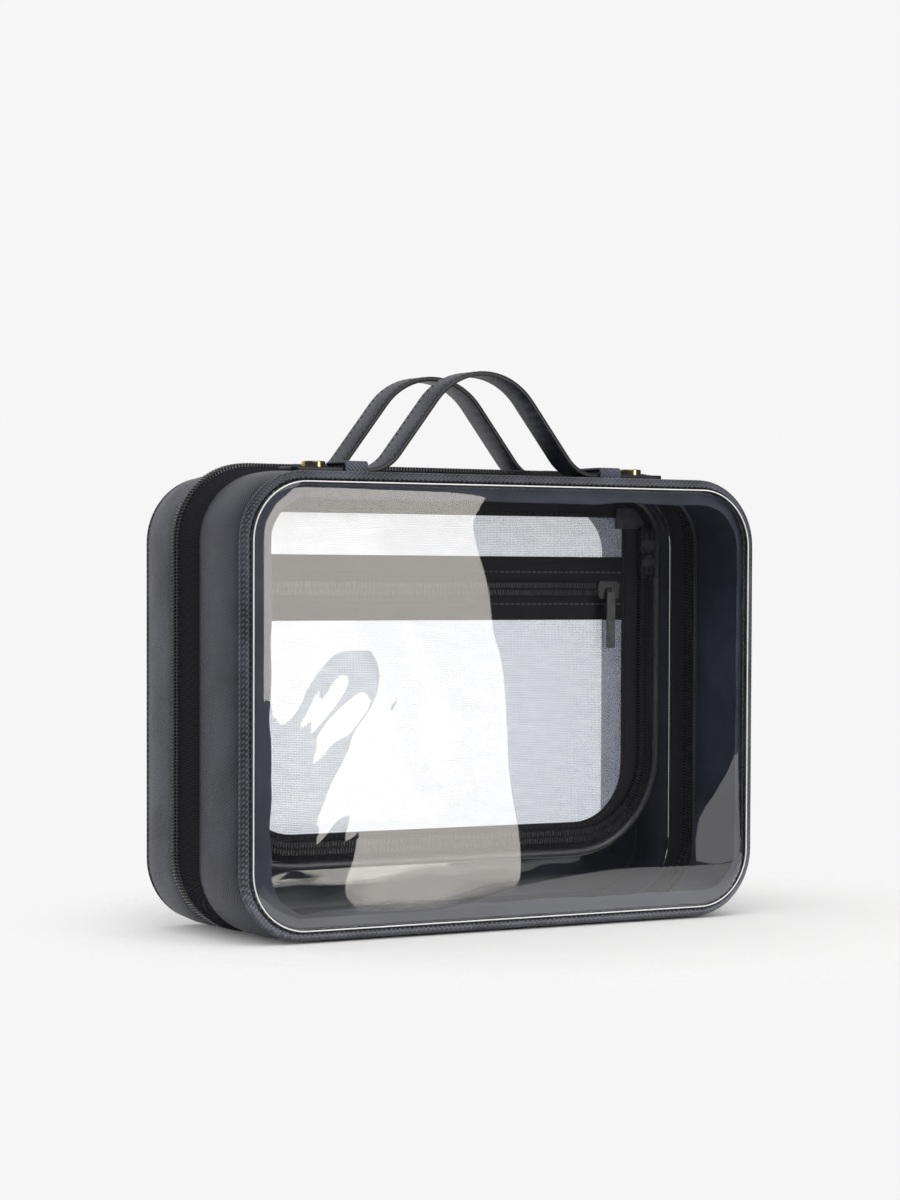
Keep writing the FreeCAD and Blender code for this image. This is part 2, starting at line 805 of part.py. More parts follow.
# Sliders: X across the chain, Y along it, Z out of its face
def slider(name, reach, sides, crown_place, half_plate):
    """A slider's cap plate, the skirts beside the coil and the pull's crown."""
    body = new_body(name)
    half_length = size.slider_length / 2
    cap = new_sketch(body, "cap", "XY_Plane", as_size(0))
    draw_outline(cap, Outline(half_plate, -half_length, half_length, size.slider_round, size.slider_round))
    pad(cap, size.slider_plate)
    skirt = new_sketch(body, "skirts", "XY_Plane", as_size(0))
    half_skirt = size.skirt_length / 2
    inner = reach + size.slider_play
    outer = inner + size.slider_wall
    for side in sides:
        left, right = (inner, outer) if side > 0 else (-outer, -inner)
        draw_rectangle(skirt, left, right, -half_skirt, half_skirt)
    pad(skirt, size.slider_skirt, backward=True)
    half_crown = size.crown_width / 2
    posts = new_sketch(body, "posts", "XY_Plane", size.slider_plate)
    for low, high in (
        (crown_place - size.crown_reach, crown_place - size.crown_reach + size.crown_post),
        (crown_place + size.crown_reach - size.crown_post, crown_place + size.crown_reach),
    ):
        draw_rectangle(posts, -half_crown, half_crown, low, high)
    pad(posts, size.crown_open)
    bar = new_sketch(body, "bar", "XY_Plane", size.slider_plate + size.crown_open)
    bar_low = crown_place - size.crown_reach
    bar_high = crown_place + size.crown_reach
    draw_rectangle(bar, -half_crown, half_crown, bar_low, bar_high)
    pad(bar, size.crown_bar)
    return body


def pull(name):
    """A spade-shaped leather pull on a wire frame that turns in a crown."""
    body = new_body(name)
    inner = size.crown_width / 2 + size.arm_play
    outer = inner + size.arm_width
    bar = new_sketch(body, "bar", "YZ_Plane", -outer)
    draw_circle(bar, 0, 0, size.bar_radius)
    pad(bar, outer * 2)
    half = size.pull_leather / 2
    arms = new_sketch(body, "arms", "XY_Plane", -half)
    reach = size.pull_start + size.arm_width
    draw_rectangle(arms, -outer, -inner, -size.bar_radius, reach)
    draw_rectangle(arms, inner, outer, -size.bar_radius, reach)
    pad(arms, size.pull_leather)
    spade = new_sketch(body, "spade", "XY_Plane", -half)
    half_spade = size.spade_width / 2
    draw_polygon(spade, [
        (-half_spade, size.pull_start),
        (half_spade, size.pull_start),
        (half_spade, size.spade_shoulder),
        (0, size.spade_length),
        (-half_spade, size.spade_shoulder),
    ])
    pad(spade, size.pull_leather)
    return body


def place(body, across, depth, height, x_axis, y_axis):
    """Sets a body down with its own X and Y along two directions of the case."""
    x_axis = FreeCAD.Vector(*x_axis)
    y_axis = FreeCAD.Vector(*y_axis)
    turn = FreeCAD.Rotation(x_axis, y_axis, x_axis.cross(y_axis), "XYZ")
    body.Placement = FreeCAD.Placement(FreeCAD.Vector(0, 0, 0), turn)
    bind(body, "Placement.Base.x", across)
    bind(body, "Placement.Base.y", depth)
    bind(body, "Placement.Base.z", height)


RIGHT = (1, 0, 0)
LEFT = (-1, 0, 0)
BACK = (0, 1, 0)
FRONT = (0, -1, 0)
UP = (0, 0, 1)
DOWN = (0, 0, -1)

# Divider sliders: two on the right run of the chain, tip to tip
inner_reach = inner_coil_offset + size.inner_coil_radius
inner_half_plate = inner_reach + size.slider_play + size.slider_wall
inner_cap_depth = inner_coil_depth - size.inner_coil_radius - size.slider_play
bar_height = size.slider_plate + size.bar_radius + size.bar_play
inner_pull_depth = inner_cap_depth - bar_height
crown_away = size.slider_length / 2 - size.crown_reach
slider_away = size.slider_length / 2 + size.slider_space / 2
divider_pulls_meet = size.case_height - size.divider_pulls_drop
divider_sliders = []
for level, x_axis, along, direction in (("upper", LEFT, DOWN, 1), ("lower", RIGHT, UP, -1)):
    height = divider_pulls_meet + slider_away * direction
    pivot = height + crown_away * direction
    body = slider(f"divider_{level}_slider", inner_reach, (direction,), -crown_away, inner_half_plate)
    place(body, chain_line.half_width, inner_cap_depth, height, x_axis, along)
    spade_pull = pull(f"divider_{level}_pull")
    place(spade_pull, chain_line.half_width, inner_pull_depth, pivot, x_axis, along)
    divider_sliders += [body, spade_pull]

# Pocket slider: it closes toward the right end and its strip hangs down
pocket_slider_place = pocket_zip_half - size.pocket_slider_park
pocket_slider = slider("pocket_slider", inner_reach, SIDES, as_size(0), inner_half_plate)
place(pocket_slider, pocket_slider_place, inner_cap_depth, pocket_zip_height, DOWN, RIGHT)
pocket_pull = new_body("pocket_pull")
ring = pocket_pull.newObject("PartDesign::AdditiveTorus", "pocket_pull_ring")
bind(ring, "Radius1", size.ring_radius)
bind(ring, "Radius2", size.ring_wire)
strip_sketch = new_sketch(pocket_pull, "strip", "XY_Plane", -(size.pocket_pull_width / 2))
half_leather = size.pull_leather / 2
draw_rectangle(strip_sketch, -half_leather, half_leather, size.ring_radius, size.pocket_pull_length)
pad(strip_sketch, size.pocket_pull_width)
ring_height = size.slider_plate + size.crown_open + size.crown_bar / 2
place(
    pocket_pull, pocket_slider_place, inner_cap_depth - ring_height, pocket_zip_height, BACK, DOWN
)

# Main sliders: two that meet on the right side, their pulls hanging down
main_reach = coil_offset + size.coil_radius
main_half_plate = main_reach + size.slider_play + size.slider_wall
main_cap_across = coil_line.half_width + size.coil_radius + size.slider_play
main_sliders = []
for level, x_axis, along, direction in (("upper", BACK, UP, 1), ("lower", FRONT, DOWN, -1)):
    height = size.case_height / 2 + slider_away * direction
    pivot = height + crown_away * direction
    body = slider(f"main_{level}_slider", main_reach, (direction,), crown_away, main_half_plate)
    place(body, main_cap_across, size.parting, height, x_axis, along)
    spade_pull = pull(f"main_{level}_pull")
    place(spade_pull, main_cap_across + bar_height, size.parting, pivot, FRONT, DOWN)
    main_sliders += [body, spade_pull]

doc.recompute()

nodes = [
    front_gusset, rear_gusset, front_lining, rear_lining, front_binding, rear_binding,
    front_window, rear_border, rear_window, front_zip_tape, rear_zip_tape,
    front_zip_coil, rear_zip_coil, front_hinge_strip, rear_hinge_strip,
    divider_border, divider_piping, divider_outer_tape, divider_outer_coil,
    flap_tape, flap_coil, mesh_panel, pocket_back, flap_end_tabs, pocket_band, pocket_coil,
    *handle_nodes, *divider_sliders, pocket_slider, pocket_pull, *main_sliders,
]
for item in doc.Objects:
    if "Invalid" in item.State or "Error" in item.State:
        raise RuntimeError(f"{item.Name} did not build")
os.makedirs("parts", exist_ok=True)
for node in nodes:
    if node.Shape.isNull() or not node.Shape.isValid():
        raise RuntimeError(f"{node.Name} has no valid shape")
    node.Label = node.Name
    node.Shape.exportStep(f"parts/{node.Name}.step")
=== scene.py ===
import math

import bmesh
import bpy
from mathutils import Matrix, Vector


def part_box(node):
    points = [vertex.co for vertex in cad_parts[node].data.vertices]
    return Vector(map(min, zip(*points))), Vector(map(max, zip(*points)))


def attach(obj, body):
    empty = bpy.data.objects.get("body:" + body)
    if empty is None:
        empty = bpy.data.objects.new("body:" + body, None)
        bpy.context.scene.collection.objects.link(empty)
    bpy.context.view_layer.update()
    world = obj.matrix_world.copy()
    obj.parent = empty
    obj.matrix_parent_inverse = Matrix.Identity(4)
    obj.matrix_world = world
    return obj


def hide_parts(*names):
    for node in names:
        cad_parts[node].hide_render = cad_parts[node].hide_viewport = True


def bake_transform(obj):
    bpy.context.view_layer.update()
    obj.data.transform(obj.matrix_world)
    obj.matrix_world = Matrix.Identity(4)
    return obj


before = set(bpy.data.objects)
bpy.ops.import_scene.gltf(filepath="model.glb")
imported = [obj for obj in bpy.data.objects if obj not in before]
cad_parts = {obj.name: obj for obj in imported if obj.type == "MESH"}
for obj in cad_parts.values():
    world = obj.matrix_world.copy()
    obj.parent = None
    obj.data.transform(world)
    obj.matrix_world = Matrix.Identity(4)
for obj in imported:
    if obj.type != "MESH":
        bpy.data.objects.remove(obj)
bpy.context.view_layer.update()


# The studio. A pale floor fades into a room that is white behind the case and dark
# in front of it. Two soft boxes in front on the right shine in the clear front, the
# pale table shines in its lower edge, and a soft box overhead lights the leather.
ROOM_WHITE = (0.92, 0.92, 0.92)
ROOM_DARK = (0.04, 0.04, 0.045)
ROOM_LIGHT = 0.76
PAPER_DARK = (0.925, 0.925, 0.925)
PAPER_PALE = (0.955, 0.955, 0.955)
FLOOR_RADIUS = 1.1
FLOOR_LEVEL = -0.0006
FLOOR_SHIFT = (-0.06, 0.02, 0)
FLOOR_FULL = 0.16
FLOOR_GONE = 0.30
BOX_AWAY = -1.55
BOX_GLOW = 4.3
BOX_TINT = (1.0, 0.955, 0.885)
TABLE_LEVEL = -0.0003
TABLE_GLOW = 2.3
CAMERA_PLACE = (-0.8316, -1.3541, 0.1736)
CAMERA_AIM = (0, 0, 0.1145)
CAMERA_ROLL = 0.20
LENS_LENGTH = 92.206
LENS_SHIFT = (-0.0043, 0.0825)


def add_node(tree, kind, inputs=None, **settings):
    """Adds a node; an input may be a number, a colour or another node's socket."""
    made = tree.nodes.new("ShaderNode" + kind)
    for name, value in settings.items():
        setattr(made, name, value)
    for name, value in (inputs or {}).items():
        if isinstance(value, bpy.types.NodeSocket):
            tree.links.new(value, made.inputs[name])
        else:
            made.inputs[name].default_value = value
    return made


def two_tones(tree, value, dark, pale, low=0.0, high=1.0):
    """A colour that runs from dark to pale as a value rises from low to high."""
    ramp = add_node(tree, "ValToRGB", {"Fac": value})
    for stop, position, colour in zip(ramp.color_ramp.elements, (low, high), (dark, pale)):
        stop.position = position
        stop.color = (*colour, 1)
    return ramp.outputs["Color"]


def specks(tree, place, scale, detail):
    """An even speckle."""
    return add_node(tree, "TexNoise", {"Vector": place, "Scale": scale, "Detail": detail}).outputs["Fac"]


def combine(tree, operation, *values):
    """Combines values by one sum."""
    return add_node(tree, "Math", dict(enumerate(values)), operation=operation).outputs[0]


def mix(tree, share, first, second):
    """Mixes two shaders."""
    return add_node(tree, "MixShader", {0: share, 1: first.outputs[0], 2: second.outputs[0]})


def new_finish(name):
    """An empty material, with its tree and its object coordinates."""
    finish = bpy.data.materials.new(name)
    finish.use_nodes = True
    finish.node_tree.nodes.clear()
    return finish, finish.node_tree, add_node(finish.node_tree, "TexCoord").outputs["Object"]


def choose(piece, *others):
    """Selects these pieces and makes the first one active."""
    bpy.ops.object.select_all(action="DESELECT")
    for each in (piece, *others):
        each.select_set(True)
    bpy.context.view_layer.objects.active = piece


def settle(piece):
    """Works a piece's place, turn and size into its mesh."""
    choose(piece)
    bpy.ops.object.transform_apply(location=True, rotation=True, scale=True)


def flat_sheet(name, centre, width, height, columns=1, rows=1):
    """A flat rectangle of even cells that lies level at this place."""
    bpy.ops.mesh.primitive_grid_add(x_subdivisions=columns, y_subdivisions=rows, size=1, location=centre)
    sheet = bpy.context.object
    sheet.name = name
    sheet.scale = (width, height, 1)
    settle(sheet)
    return sheet


def start_work(piece):
    """Opens a piece's mesh for work."""
    choose(piece)
    bpy.ops.object.mode_set(mode="EDIT")


def end_work():
    """Closes the mesh that is open."""
    bpy.ops.object.mode_set(mode="OBJECT")


def slice_through(place, normal, clear=False):
    """In edit mode, cuts all through at a plane, and may clear what lies beyond it."""
    bpy.ops.mesh.select_all(action="SELECT")
    bpy.ops.mesh.bisect(plane_co=place, plane_no=normal, clear_outer=clear)


room = bpy.data.worlds.new("white_room")
bpy.context.scene.world = room
room.use_nodes = True
tree = room.node_tree
tree.nodes.clear()
ray = add_node(tree, "LightPath").outputs
heading = add_node(tree, "SeparateXYZ", {0: add_node(tree, "TexCoord").outputs["Generated"]}).outputs["Y"]
shine = two_tones(tree, heading, ROOM_DARK, ROOM_WHITE, 0.35, 0.95)
lit_room = add_node(tree, "Background", {"Color": (1, 1, 1, 1), "Strength": ROOM_LIGHT})
shining_room = add_node(tree, "Background", {"Color": shine, "Strength": 1.0})
seen_room = add_node(tree, "Background", {"Color": (*ROOM_WHITE, 1), "Strength": 1.0})
straight = combine(tree, "LESS_THAN", ray["Glossy Depth"], 0.5)
through = combine(tree, "MULTIPLY", ray["Is Transmission Ray"], straight)
seen = combine(tree, "MAXIMUM", ray["Is Camera Ray"], through)
both = mix(tree, seen, mix(tree, ray["Is Glossy Ray"], lit_room, shining_room), seen_room)
add_node(tree, "OutputWorld", {"Surface": both.outputs[0]})

bpy.ops.mesh.primitive_circle_add(
    vertices=96, radius=FLOOR_RADIUS, fill_type="NGON", location=(0, 0, FLOOR_LEVEL),
)
floor = bpy.context.object
floor.name = "floor"
floor_paper, tree, spot = new_finish("floor_paper")
moved = add_node(tree, "Mapping", {"Vector": spot, "Location": FLOOR_SHIFT}).outputs["Vector"]
reach = add_node(tree, "VectorMath", {0: moved}, operation="LENGTH").outputs["Value"]
fade = add_node(
    tree, "MapRange", {"Value": reach, "From Min": FLOOR_FULL, "From Max": FLOOR_GONE},
    interpolation_type="SMOOTHSTEP",
).outputs["Result"]
tint = two_tones(tree, specks(tree, spot, 420.0, 3.0), PAPER_DARK, PAPER_PALE)
paper = add_node(tree, "BsdfPrincipled", {"Base Color": tint, "Roughness": 0.9, "Specular IOR Level": 0.0})
paper = mix(tree, fade, paper, add_node(tree, "BsdfTransparent"))
add_node(tree, "OutputMaterial", {"Surface": paper.outputs[0]})
floor.data.materials.append(floor_paper)


def soft_box(name, place, aim, width, height, glow, tint=(1, 1, 1)):
    """A rectangular lamp of an even glow, which the camera itself doesn't see."""
    lamp = bpy.data.lights.new(name, "AREA")
    lamp.shape = "RECTANGLE"
    lamp.size = width
    lamp.size_y = height
    lamp.energy = glow * math.pi * width * height
    lamp.color = tint
    box = bpy.data.objects.new(name, lamp)
    bpy.context.scene.collection.objects.link(box)
    box.location = place
    box.rotation_euler = (Vector(aim) - Vector(place)).to_track_quat("-Z", "Y").to_euler()
    box.visible_camera = False


for name, across, level, width, height in (
    ("strip_box", 0.8525, 0.500, 0.165, 1.60), ("wide_box", 0.604, 0.680, 0.332, 1.24),
):
    soft_box(name, (across, BOX_AWAY, level), (across, 0, level), width, height, BOX_GLOW, BOX_TINT)
soft_box("top_box", (-0.1, -0.75, 1.7), (0, -0.05, 0.05), 1.3, 0.9, 2.0)

table_shine, tree = new_finish("table_shine")[:2]
glow = add_node(tree, "Emission", {"Color": (1, 0.99, 1, 1), "Strength": TABLE_GLOW})
add_node(tree, "OutputMaterial", {"Surface": glow.outputs[0]})
for name, left, right, near, far, corner, slope, breadth in (
    ("near_table", -0.25, 0.42, -0.056, -0.40, (-0.086, -0.135), -0.45, 0.60),
    ("far_table", 0.340, 1.3, -0.3, -1.3, (0.376, -0.395), -1.288, 0.20),
):
    table = flat_sheet(name, ((left + right) / 2, (near + far) / 2, TABLE_LEVEL), right - left, near - far)
    start_work(table)
    for edge, side in ((corner[0], 1), (corner[0] + breadth, -1)):
        slice_through((edge, corner[1], 0), (side * slope / 2, side * -0.5, 0), True)
    end_work()
    table.data.materials.append(table_shine)
    for way in ("camera", "diffuse", "transmission", "shadow"):
        setattr(table, "visible_" + way, False)

lens = bpy.data.cameras.new("camera")
lens.sensor_fit = "VERTICAL"
lens.sensor_height = 36.0
lens.lens = LENS_LENGTH
lens.shift_x, lens.shift_y = LENS_SHIFT
camera = bpy.data.objects.new("camera", lens)
bpy.context.scene.collection.objects.link(camera)
camera.location = CAMERA_PLACE
camera.rotation_euler = (Vector(CAMERA_AIM) - camera.location).to_track_quat("-Z", "Y").to_euler()
camera.rotation_euler.rotate_axis("Z", math.radians(CAMERA_ROLL))
bpy.context.scene.camera = camera
bpy.context.scene.view_settings.view_transform = "Standard"


# The leather walls of the two trays. Each is a strip of cross-grain leather bent
# round the tray, with its edge turned in beside the zip and a sunk seam where the
# binding starts.
CASE_HALF_WIDTH = 0.1525
CASE_HEIGHT = 0.229
CASE_ROUND = 0.035
WALL_LEATHER = 0.0016
WALL_GRAIN = 0.00016
GRAIN_PITCH = 350.0
LEATHER_NAVY = (0.005, 0.006, 0.010)
LEATHER_RIDGE = (0.050, 0.053, 0.078)
FRONT_ROUNDING = (
    (0.0001, 0.20), (0.0003, 0.20), (0.0005, 0.20), (0.0006, 0.15), (0.0007, 0.13), (0.0008, 0.08),
    (0.0006, 0.04),
)
REAR_ROUNDING = (
    (0.0001, 0.25), (0.0002, 0.20), (0.0003, 0.20), (0.0003, 0.15), (0.0004, 0.10), (0.0005, 0.06),
    (0.0006, 0.04),
)
ZIP_ROUNDING = (
    (0.00005, 0.30), (0.0001, 0.20), (0.0003, 0.20), (0.0005, 0.12), (0.0008, 0.10), (0.0010, 0.05),
    (0.0010, 0.03),
)


def pick(piece, kind, test):
    """In edit mode, selects the corners, edges or faces that pass the test."""
    bpy.ops.mesh.select_mode(type=kind)
    bpy.ops.mesh.select_all(action="DESELECT")
    shape = bmesh.from_edit_mesh(piece.data)
    for part in {"VERT": shape.verts, "EDGE": shape.edges, "FACE": shape.faces}[kind]:
        part.select_set(bool(test(part)))
    shape.select_flush_mode()
    bmesh.update_edit_mesh(piece.data)


def face_outwards():
    """In edit mode, turns all faces to the outside."""
    bpy.ops.mesh.select_all(action="SELECT")
    bpy.ops.mesh.normals_make_consistent(inside=False)


def face_up(piece):
    """In edit mode, turns all faces of flat work to its upper side."""
    face_outwards()
    shape = bmesh.from_edit_mesh(piece.data)
    if sum(face.normal.z for face in shape.faces) < 0:
        bpy.ops.mesh.flip_normals()


def cut_blank(name, half_width, low, high, low_round, high_round, steps=14):
    """A rounded blank flat on the bench: x across, y up the case, z to the front."""
    blank = flat_sheet(name, (0, (low + high) / 2, 0), 2 * half_width, high - low)
    start_work(blank)
    for height, corner_round in ((low, low_round), (high, high_round)):
        pick(blank, "VERT", lambda corner: abs(corner.co.y - height) < 1e-6)
        bpy.ops.mesh.bevel(offset=corner_round, affect="VERTICES", segments=steps, profile=0.5)
    end_work()
    return blank


def case_blank(name, inset, steps=14):
    """A blank of the case's own outline, smaller all round by the inset."""
    return cut_blank(
        name, CASE_HALF_WIDTH - inset, inset, CASE_HEIGHT - inset,
        CASE_ROUND - inset, CASE_ROUND - inset, steps,
    )


def raise_ring(piece, start, up_steps, down_steps=()):
    """Works a blank into an open ring: each step is how far in and how far up."""
    start_work(piece)
    pick(piece, "FACE", lambda face: True)
    bpy.ops.transform.translate(value=(0, 0, start))
    for inward, up in up_steps:
        bpy.ops.mesh.inset(thickness=inward, depth=up)
    bpy.ops.mesh.delete(type="ONLY_FACE")
    if down_steps:
        pick(
            piece, "EDGE",
            lambda edge: edge.is_boundary and all(abs(c.co.z - start) < 1e-6 for c in edge.verts),
        )
        bpy.ops.mesh.edge_face_add()
        shape = bmesh.from_edit_mesh(piece.data)
        for face in shape.faces:
            if face.select and face.normal.z > 0:
                face.normal_flip()
        bmesh.update_edit_mesh(piece.data)
        for inward, down in down_steps:
            bpy.ops.mesh.inset(thickness=inward, depth=down)
        bpy.ops.mesh.delete(type="ONLY_FACE")
    face_outwards()
    end_work()


def apply_modifier(piece, kind, **settings):
    """Adds a modifier with these settings and applies it."""
    choose(piece)
    tool = piece.modifiers.new(kind.lower(), kind)
    for name, value in settings.items():
        setattr(tool, name, value)
    bpy.ops.object.modifier_apply(modifier=tool.name)


def stand(piece, turned=False):
    """Stands bench work up in the case; turned work faces the rear."""
    piece.rotation_euler = (math.pi / 2, 0, math.pi if turned else 0)
    settle(piece)


def smooth(piece, angle=50):
    """Shades the piece smooth, apart from edges sharper than the angle."""
    choose(piece)
    bpy.ops.object.shade_smooth_by_angle(angle=math.radians(angle))


def dress(piece, finish, turned=False, angle=50):
    """Smooths a piece, stands it up in the case and gives it its finish."""
    smooth(piece, angle)
    stand(piece, turned)
    piece.data.materials.append(finish)


def fit(piece, body, slot, *nodes):
    """Fixes a finished piece to its body, for these parts of the model."""
    if body:
        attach(piece, body)
    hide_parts(*nodes)


def stripes(tree, place, scale, way, wander, wander_scale=1.0):
    """Fine stripes that wander a little."""
    return add_node(
        tree, "TexWave",
        {"Vector": place, "Scale": scale, "Distortion": wander, "Detail": 2.0, "Detail Scale": wander_scale},
        bands_direction=way,
    ).outputs["Fac"]


def spread(tree, value, least, most, low=0.0, high=1.0):
    """Spreads a value that runs from low to high over another range."""
    return add_node(
        tree, "MapRange",
        {"Value": value, "From Min": low, "From Max": high, "To Min": least, "To Max": most},
    ).outputs["Result"]


def bumps(tree, height, strength, depth):
    """The bumps that a pattern raises on a surface."""
    inputs = {"Height": height, "Strength": strength, "Distance": depth}
    return add_node(tree, "Bump", inputs).outputs["Normal"]


def coat_with(tree, colour, roughness, normal=None, gloss=0.5, more=None):
    """Gives a material its surface."""
    inputs = {"Base Color": colour, "Roughness": roughness, "Specular IOR Level": gloss, **(more or {})}
    if normal is not None:
        inputs["Normal"] = normal
    coat = add_node(tree, "BsdfPrincipled", inputs)
    add_node(tree, "OutputMaterial", {"Surface": coat.outputs[0]})


def grain_leather(name, ridge, lean, depth=WALL_GRAIN, pitch=GRAIN_PITCH):
    """Leather pressed with two crossing sets of fine slanted ridges."""
    finish, tree, place = new_finish(name)
    ridges = []
    for turn in ((1, 1, 1), lean):
        turned = add_node(tree, "Mapping", {"Vector": place, "Scale": turn}).outputs["Vector"]
        ridges.append(stripes(tree, turned, pitch, "DIAGONAL", 1.6, 1.4))
    hatch = combine(tree, "MULTIPLY", *ridges)
    mixed = combine(tree, "MULTIPLY_ADD", hatch, 0.55, specks(tree, place, 38.0, 4.0))
    coat_with(
        tree, two_tones(tree, mixed, LEATHER_NAVY, ridge, 0.30, 1.0),
        spread(tree, mixed, 0.45, 0.30, 0.2, 1.1), bumps(tree, hatch, 0.8, depth),
        0.7, {"Specular Tint": (0.90, 0.92, 1.0, 1)},
    )
    return finish


wall_leather = grain_leather("wall_leather", LEATHER_RIDGE, (1, -1, 1))
for body, node, zip_edge, face_edge, face_rounding, turned in (
    ("front_tray", "front_gusset", 0.0040, 0.0488, FRONT_ROUNDING, False),
    ("rear_tray", "rear_gusset", 0.0170, 0.0516, REAR_ROUNDING, True),
):
    crest = (zip_edge + face_edge) / 2
    reach = face_edge - crest
    wall = case_blank(node + "_leather", 0.0)
    raise_ring(
        wall, crest, tuple((inward, share * reach) for inward, share in face_rounding),
        tuple((inward, share * reach) for inward, share in ZIP_ROUNDING),
    )
    apply_modifier(wall, "SOLIDIFY", thickness=WALL_LEATHER, offset=-1, use_even_offset=True)
    dress(wall, wall_leather, turned, 40)
    fit(wall, body, "leather", node)


# The bindings. A strip of cross-grain leather is rolled round the edge of each
# face and sewn down with one row of dark thread near its inner edge.
BINDING_LEATHER = 0.0008
BINDING_RIDGE = (0.120, 0.124, 0.155)
BINDING_GRAIN = 0.00034
BINDING_PITCH = 235.0
BINDING_STEPS = 18
SEAM_INSET = 0.0046
SEAM_LIFT = 0.0539
STITCH_PITCH = 0.0034
STITCH_LONG = 0.0027
STITCH_THICK = 0.00042
FRONT_ROLL = (
    (0.0001, 0.0009), (0.0003, 0.0009), (0.0005, 0.0008), (0.0008, 0.0006), (0.0009, 0.0004),
    (0.0008, 0.0001), (0.0005, -0.0003), (0.0004, -0.0008), (0.0002, -0.0009),
)
REAR_ROLL = (
    (0.0003, 0.0003), (0.0005, 0.0005), (0.0008, 0.0006), (0.0010, 0.0004), (0.0008, 0.0001),
    (0.0006, -0.0003), (0.0004, -0.0008), (0.0002, -0.0009),
)
ROLL_GROOVE = ((0.0002, 0.0006), (0.0006, 0.0004), (0.0012, 0.0003), (0.0016, 0.0001))


def slanted_threads(name, pitch, wander, dark, pale, roughness, depth, gloss):
    """Fine slanted threads on a soft sheen."""
    finish, tree, place = new_finish(name)
    ply = stripes(tree, place, pitch, "DIAGONAL", wander)
    coat_with(tree, two_tones(tree, ply, dark, pale), roughness, bumps(tree, ply, 0.5, depth), gloss)
    return finish


def thread_finish(name, colour):
    """Twisted sewing thread."""
    shade = [0.55 * part for part in colour]
    return slanted_threads(name, 900.0, 0.6, shade, colour, 0.55, 0.00008, 0.3)


def keep_edges(piece):
    """Opens a piece's mesh, takes the faces off and leaves their edges."""
    start_work(piece)
    pick(piece, "FACE", lambda face: True)
    bpy.ops.mesh.delete(type="ONLY_FACE")


def as_line(piece):
    """Closes a mesh and makes its run of edges a line that other work can follow."""
    end_work()
    choose(piece)
    bpy.ops.object.convert(target="CURVE")
    piece.data.twist_mode = "Z_UP"
    return piece


def outline_path(blank):
    """Turns a blank into the line round its edge."""
    keep_edges(blank)
    return as_line(blank)


def repeat_along(unit, path, pitch, shift=0.0):
    """Copies a unit along a path at an even pitch, then clears the path away."""
    start_work(unit)
    bpy.ops.mesh.select_all(action="SELECT")
    bpy.ops.transform.translate(value=(shift, 0, 0))
    end_work()
    apply_modifier(
        unit, "ARRAY", fit_type="FIT_CURVE", curve=path, use_relative_offset=False,
        use_constant_offset=True, constant_offset_displace=(pitch, 0, 0),
    )
    apply_modifier(unit, "CURVE", object=path, deform_axis="POS_X")
    bpy.data.objects.remove(path)
    return unit


def middle(part):
    """The middle of an edge or a face."""
    return sum((corner.co for corner in part.verts), Vector()) / len(part.verts)


def one_stitch(lift):
    """One stitch lying along x: a short thread with its ends pulled down."""
    bpy.ops.mesh.primitive_cylinder_add(
        vertices=6, radius=STITCH_THICK, depth=STITCH_LONG, end_fill_type="NOTHING",
        location=(STITCH_LONG / 2, 0, lift), rotation=(0, math.pi / 2, 0),
    )
    stitch = bpy.context.object
    settle(stitch)
    start_work(stitch)
    for share in (0.3, 0.7):
        slice_through((share * STITCH_LONG, 0, 0), (1, 0, 0))
    pick(stitch, "VERT", lambda c: c.co.x < 0.1 * STITCH_LONG or c.co.x > 0.9 * STITCH_LONG)
    bpy.ops.transform.translate(value=(0, 0, -1.1 * STITCH_THICK))
    for end in (0.0, STITCH_LONG):
        pick(stitch, "EDGE", lambda e: e.is_boundary and abs(middle(e).x - end) < 1e-5)
        bpy.ops.mesh.edge_face_add()
    face_outwards()
    end_work()
    return stitch


def join(piece, *others):
    """Joins other pieces into the first."""
    choose(piece, *others)
    bpy.ops.object.join()
    return piece


def sew(piece, line, lift, thread, pitch=STITCH_PITCH):
    """Sews a row of stitches on a piece along a line."""
    seam = repeat_along(one_stitch(lift), line, pitch)
    seam.data.materials.append(thread)
    smooth(seam, 60)
    join(piece, seam)


binding_leather = grain_leather(
    "binding_leather", BINDING_RIDGE, (-1, 1, 1), BINDING_GRAIN, BINDING_PITCH,
)
dark_thread = thread_finish("dark_thread", (0.008, 0.008, 0.011))
for body, node, start, inset, profile, turned in (
    ("front_tray", "front_binding", 0.0502, 0.0004, FRONT_ROLL, False),
    ("rear_tray", "rear_binding", 0.0520, 0.0012, REAR_ROLL, True),
):
    roll = case_blank(node + "_roll", inset, BINDING_STEPS)
    raise_ring(roll, start, profile, ROLL_GROOVE)
    apply_modifier(roll, "SOLIDIFY", thickness=BINDING_LEATHER, offset=-1, use_even_offset=True)
    roll.data.materials.append(binding_leather)
    smooth(roll, 60)
    seam_line = outline_path(case_blank("seam_line", SEAM_INSET + inset / 2, BINDING_STEPS))
    sew(roll, seam_line, SEAM_LIFT, dark_thread)
    stand(roll, turned)
    fit(roll, body, "saffiano", node)


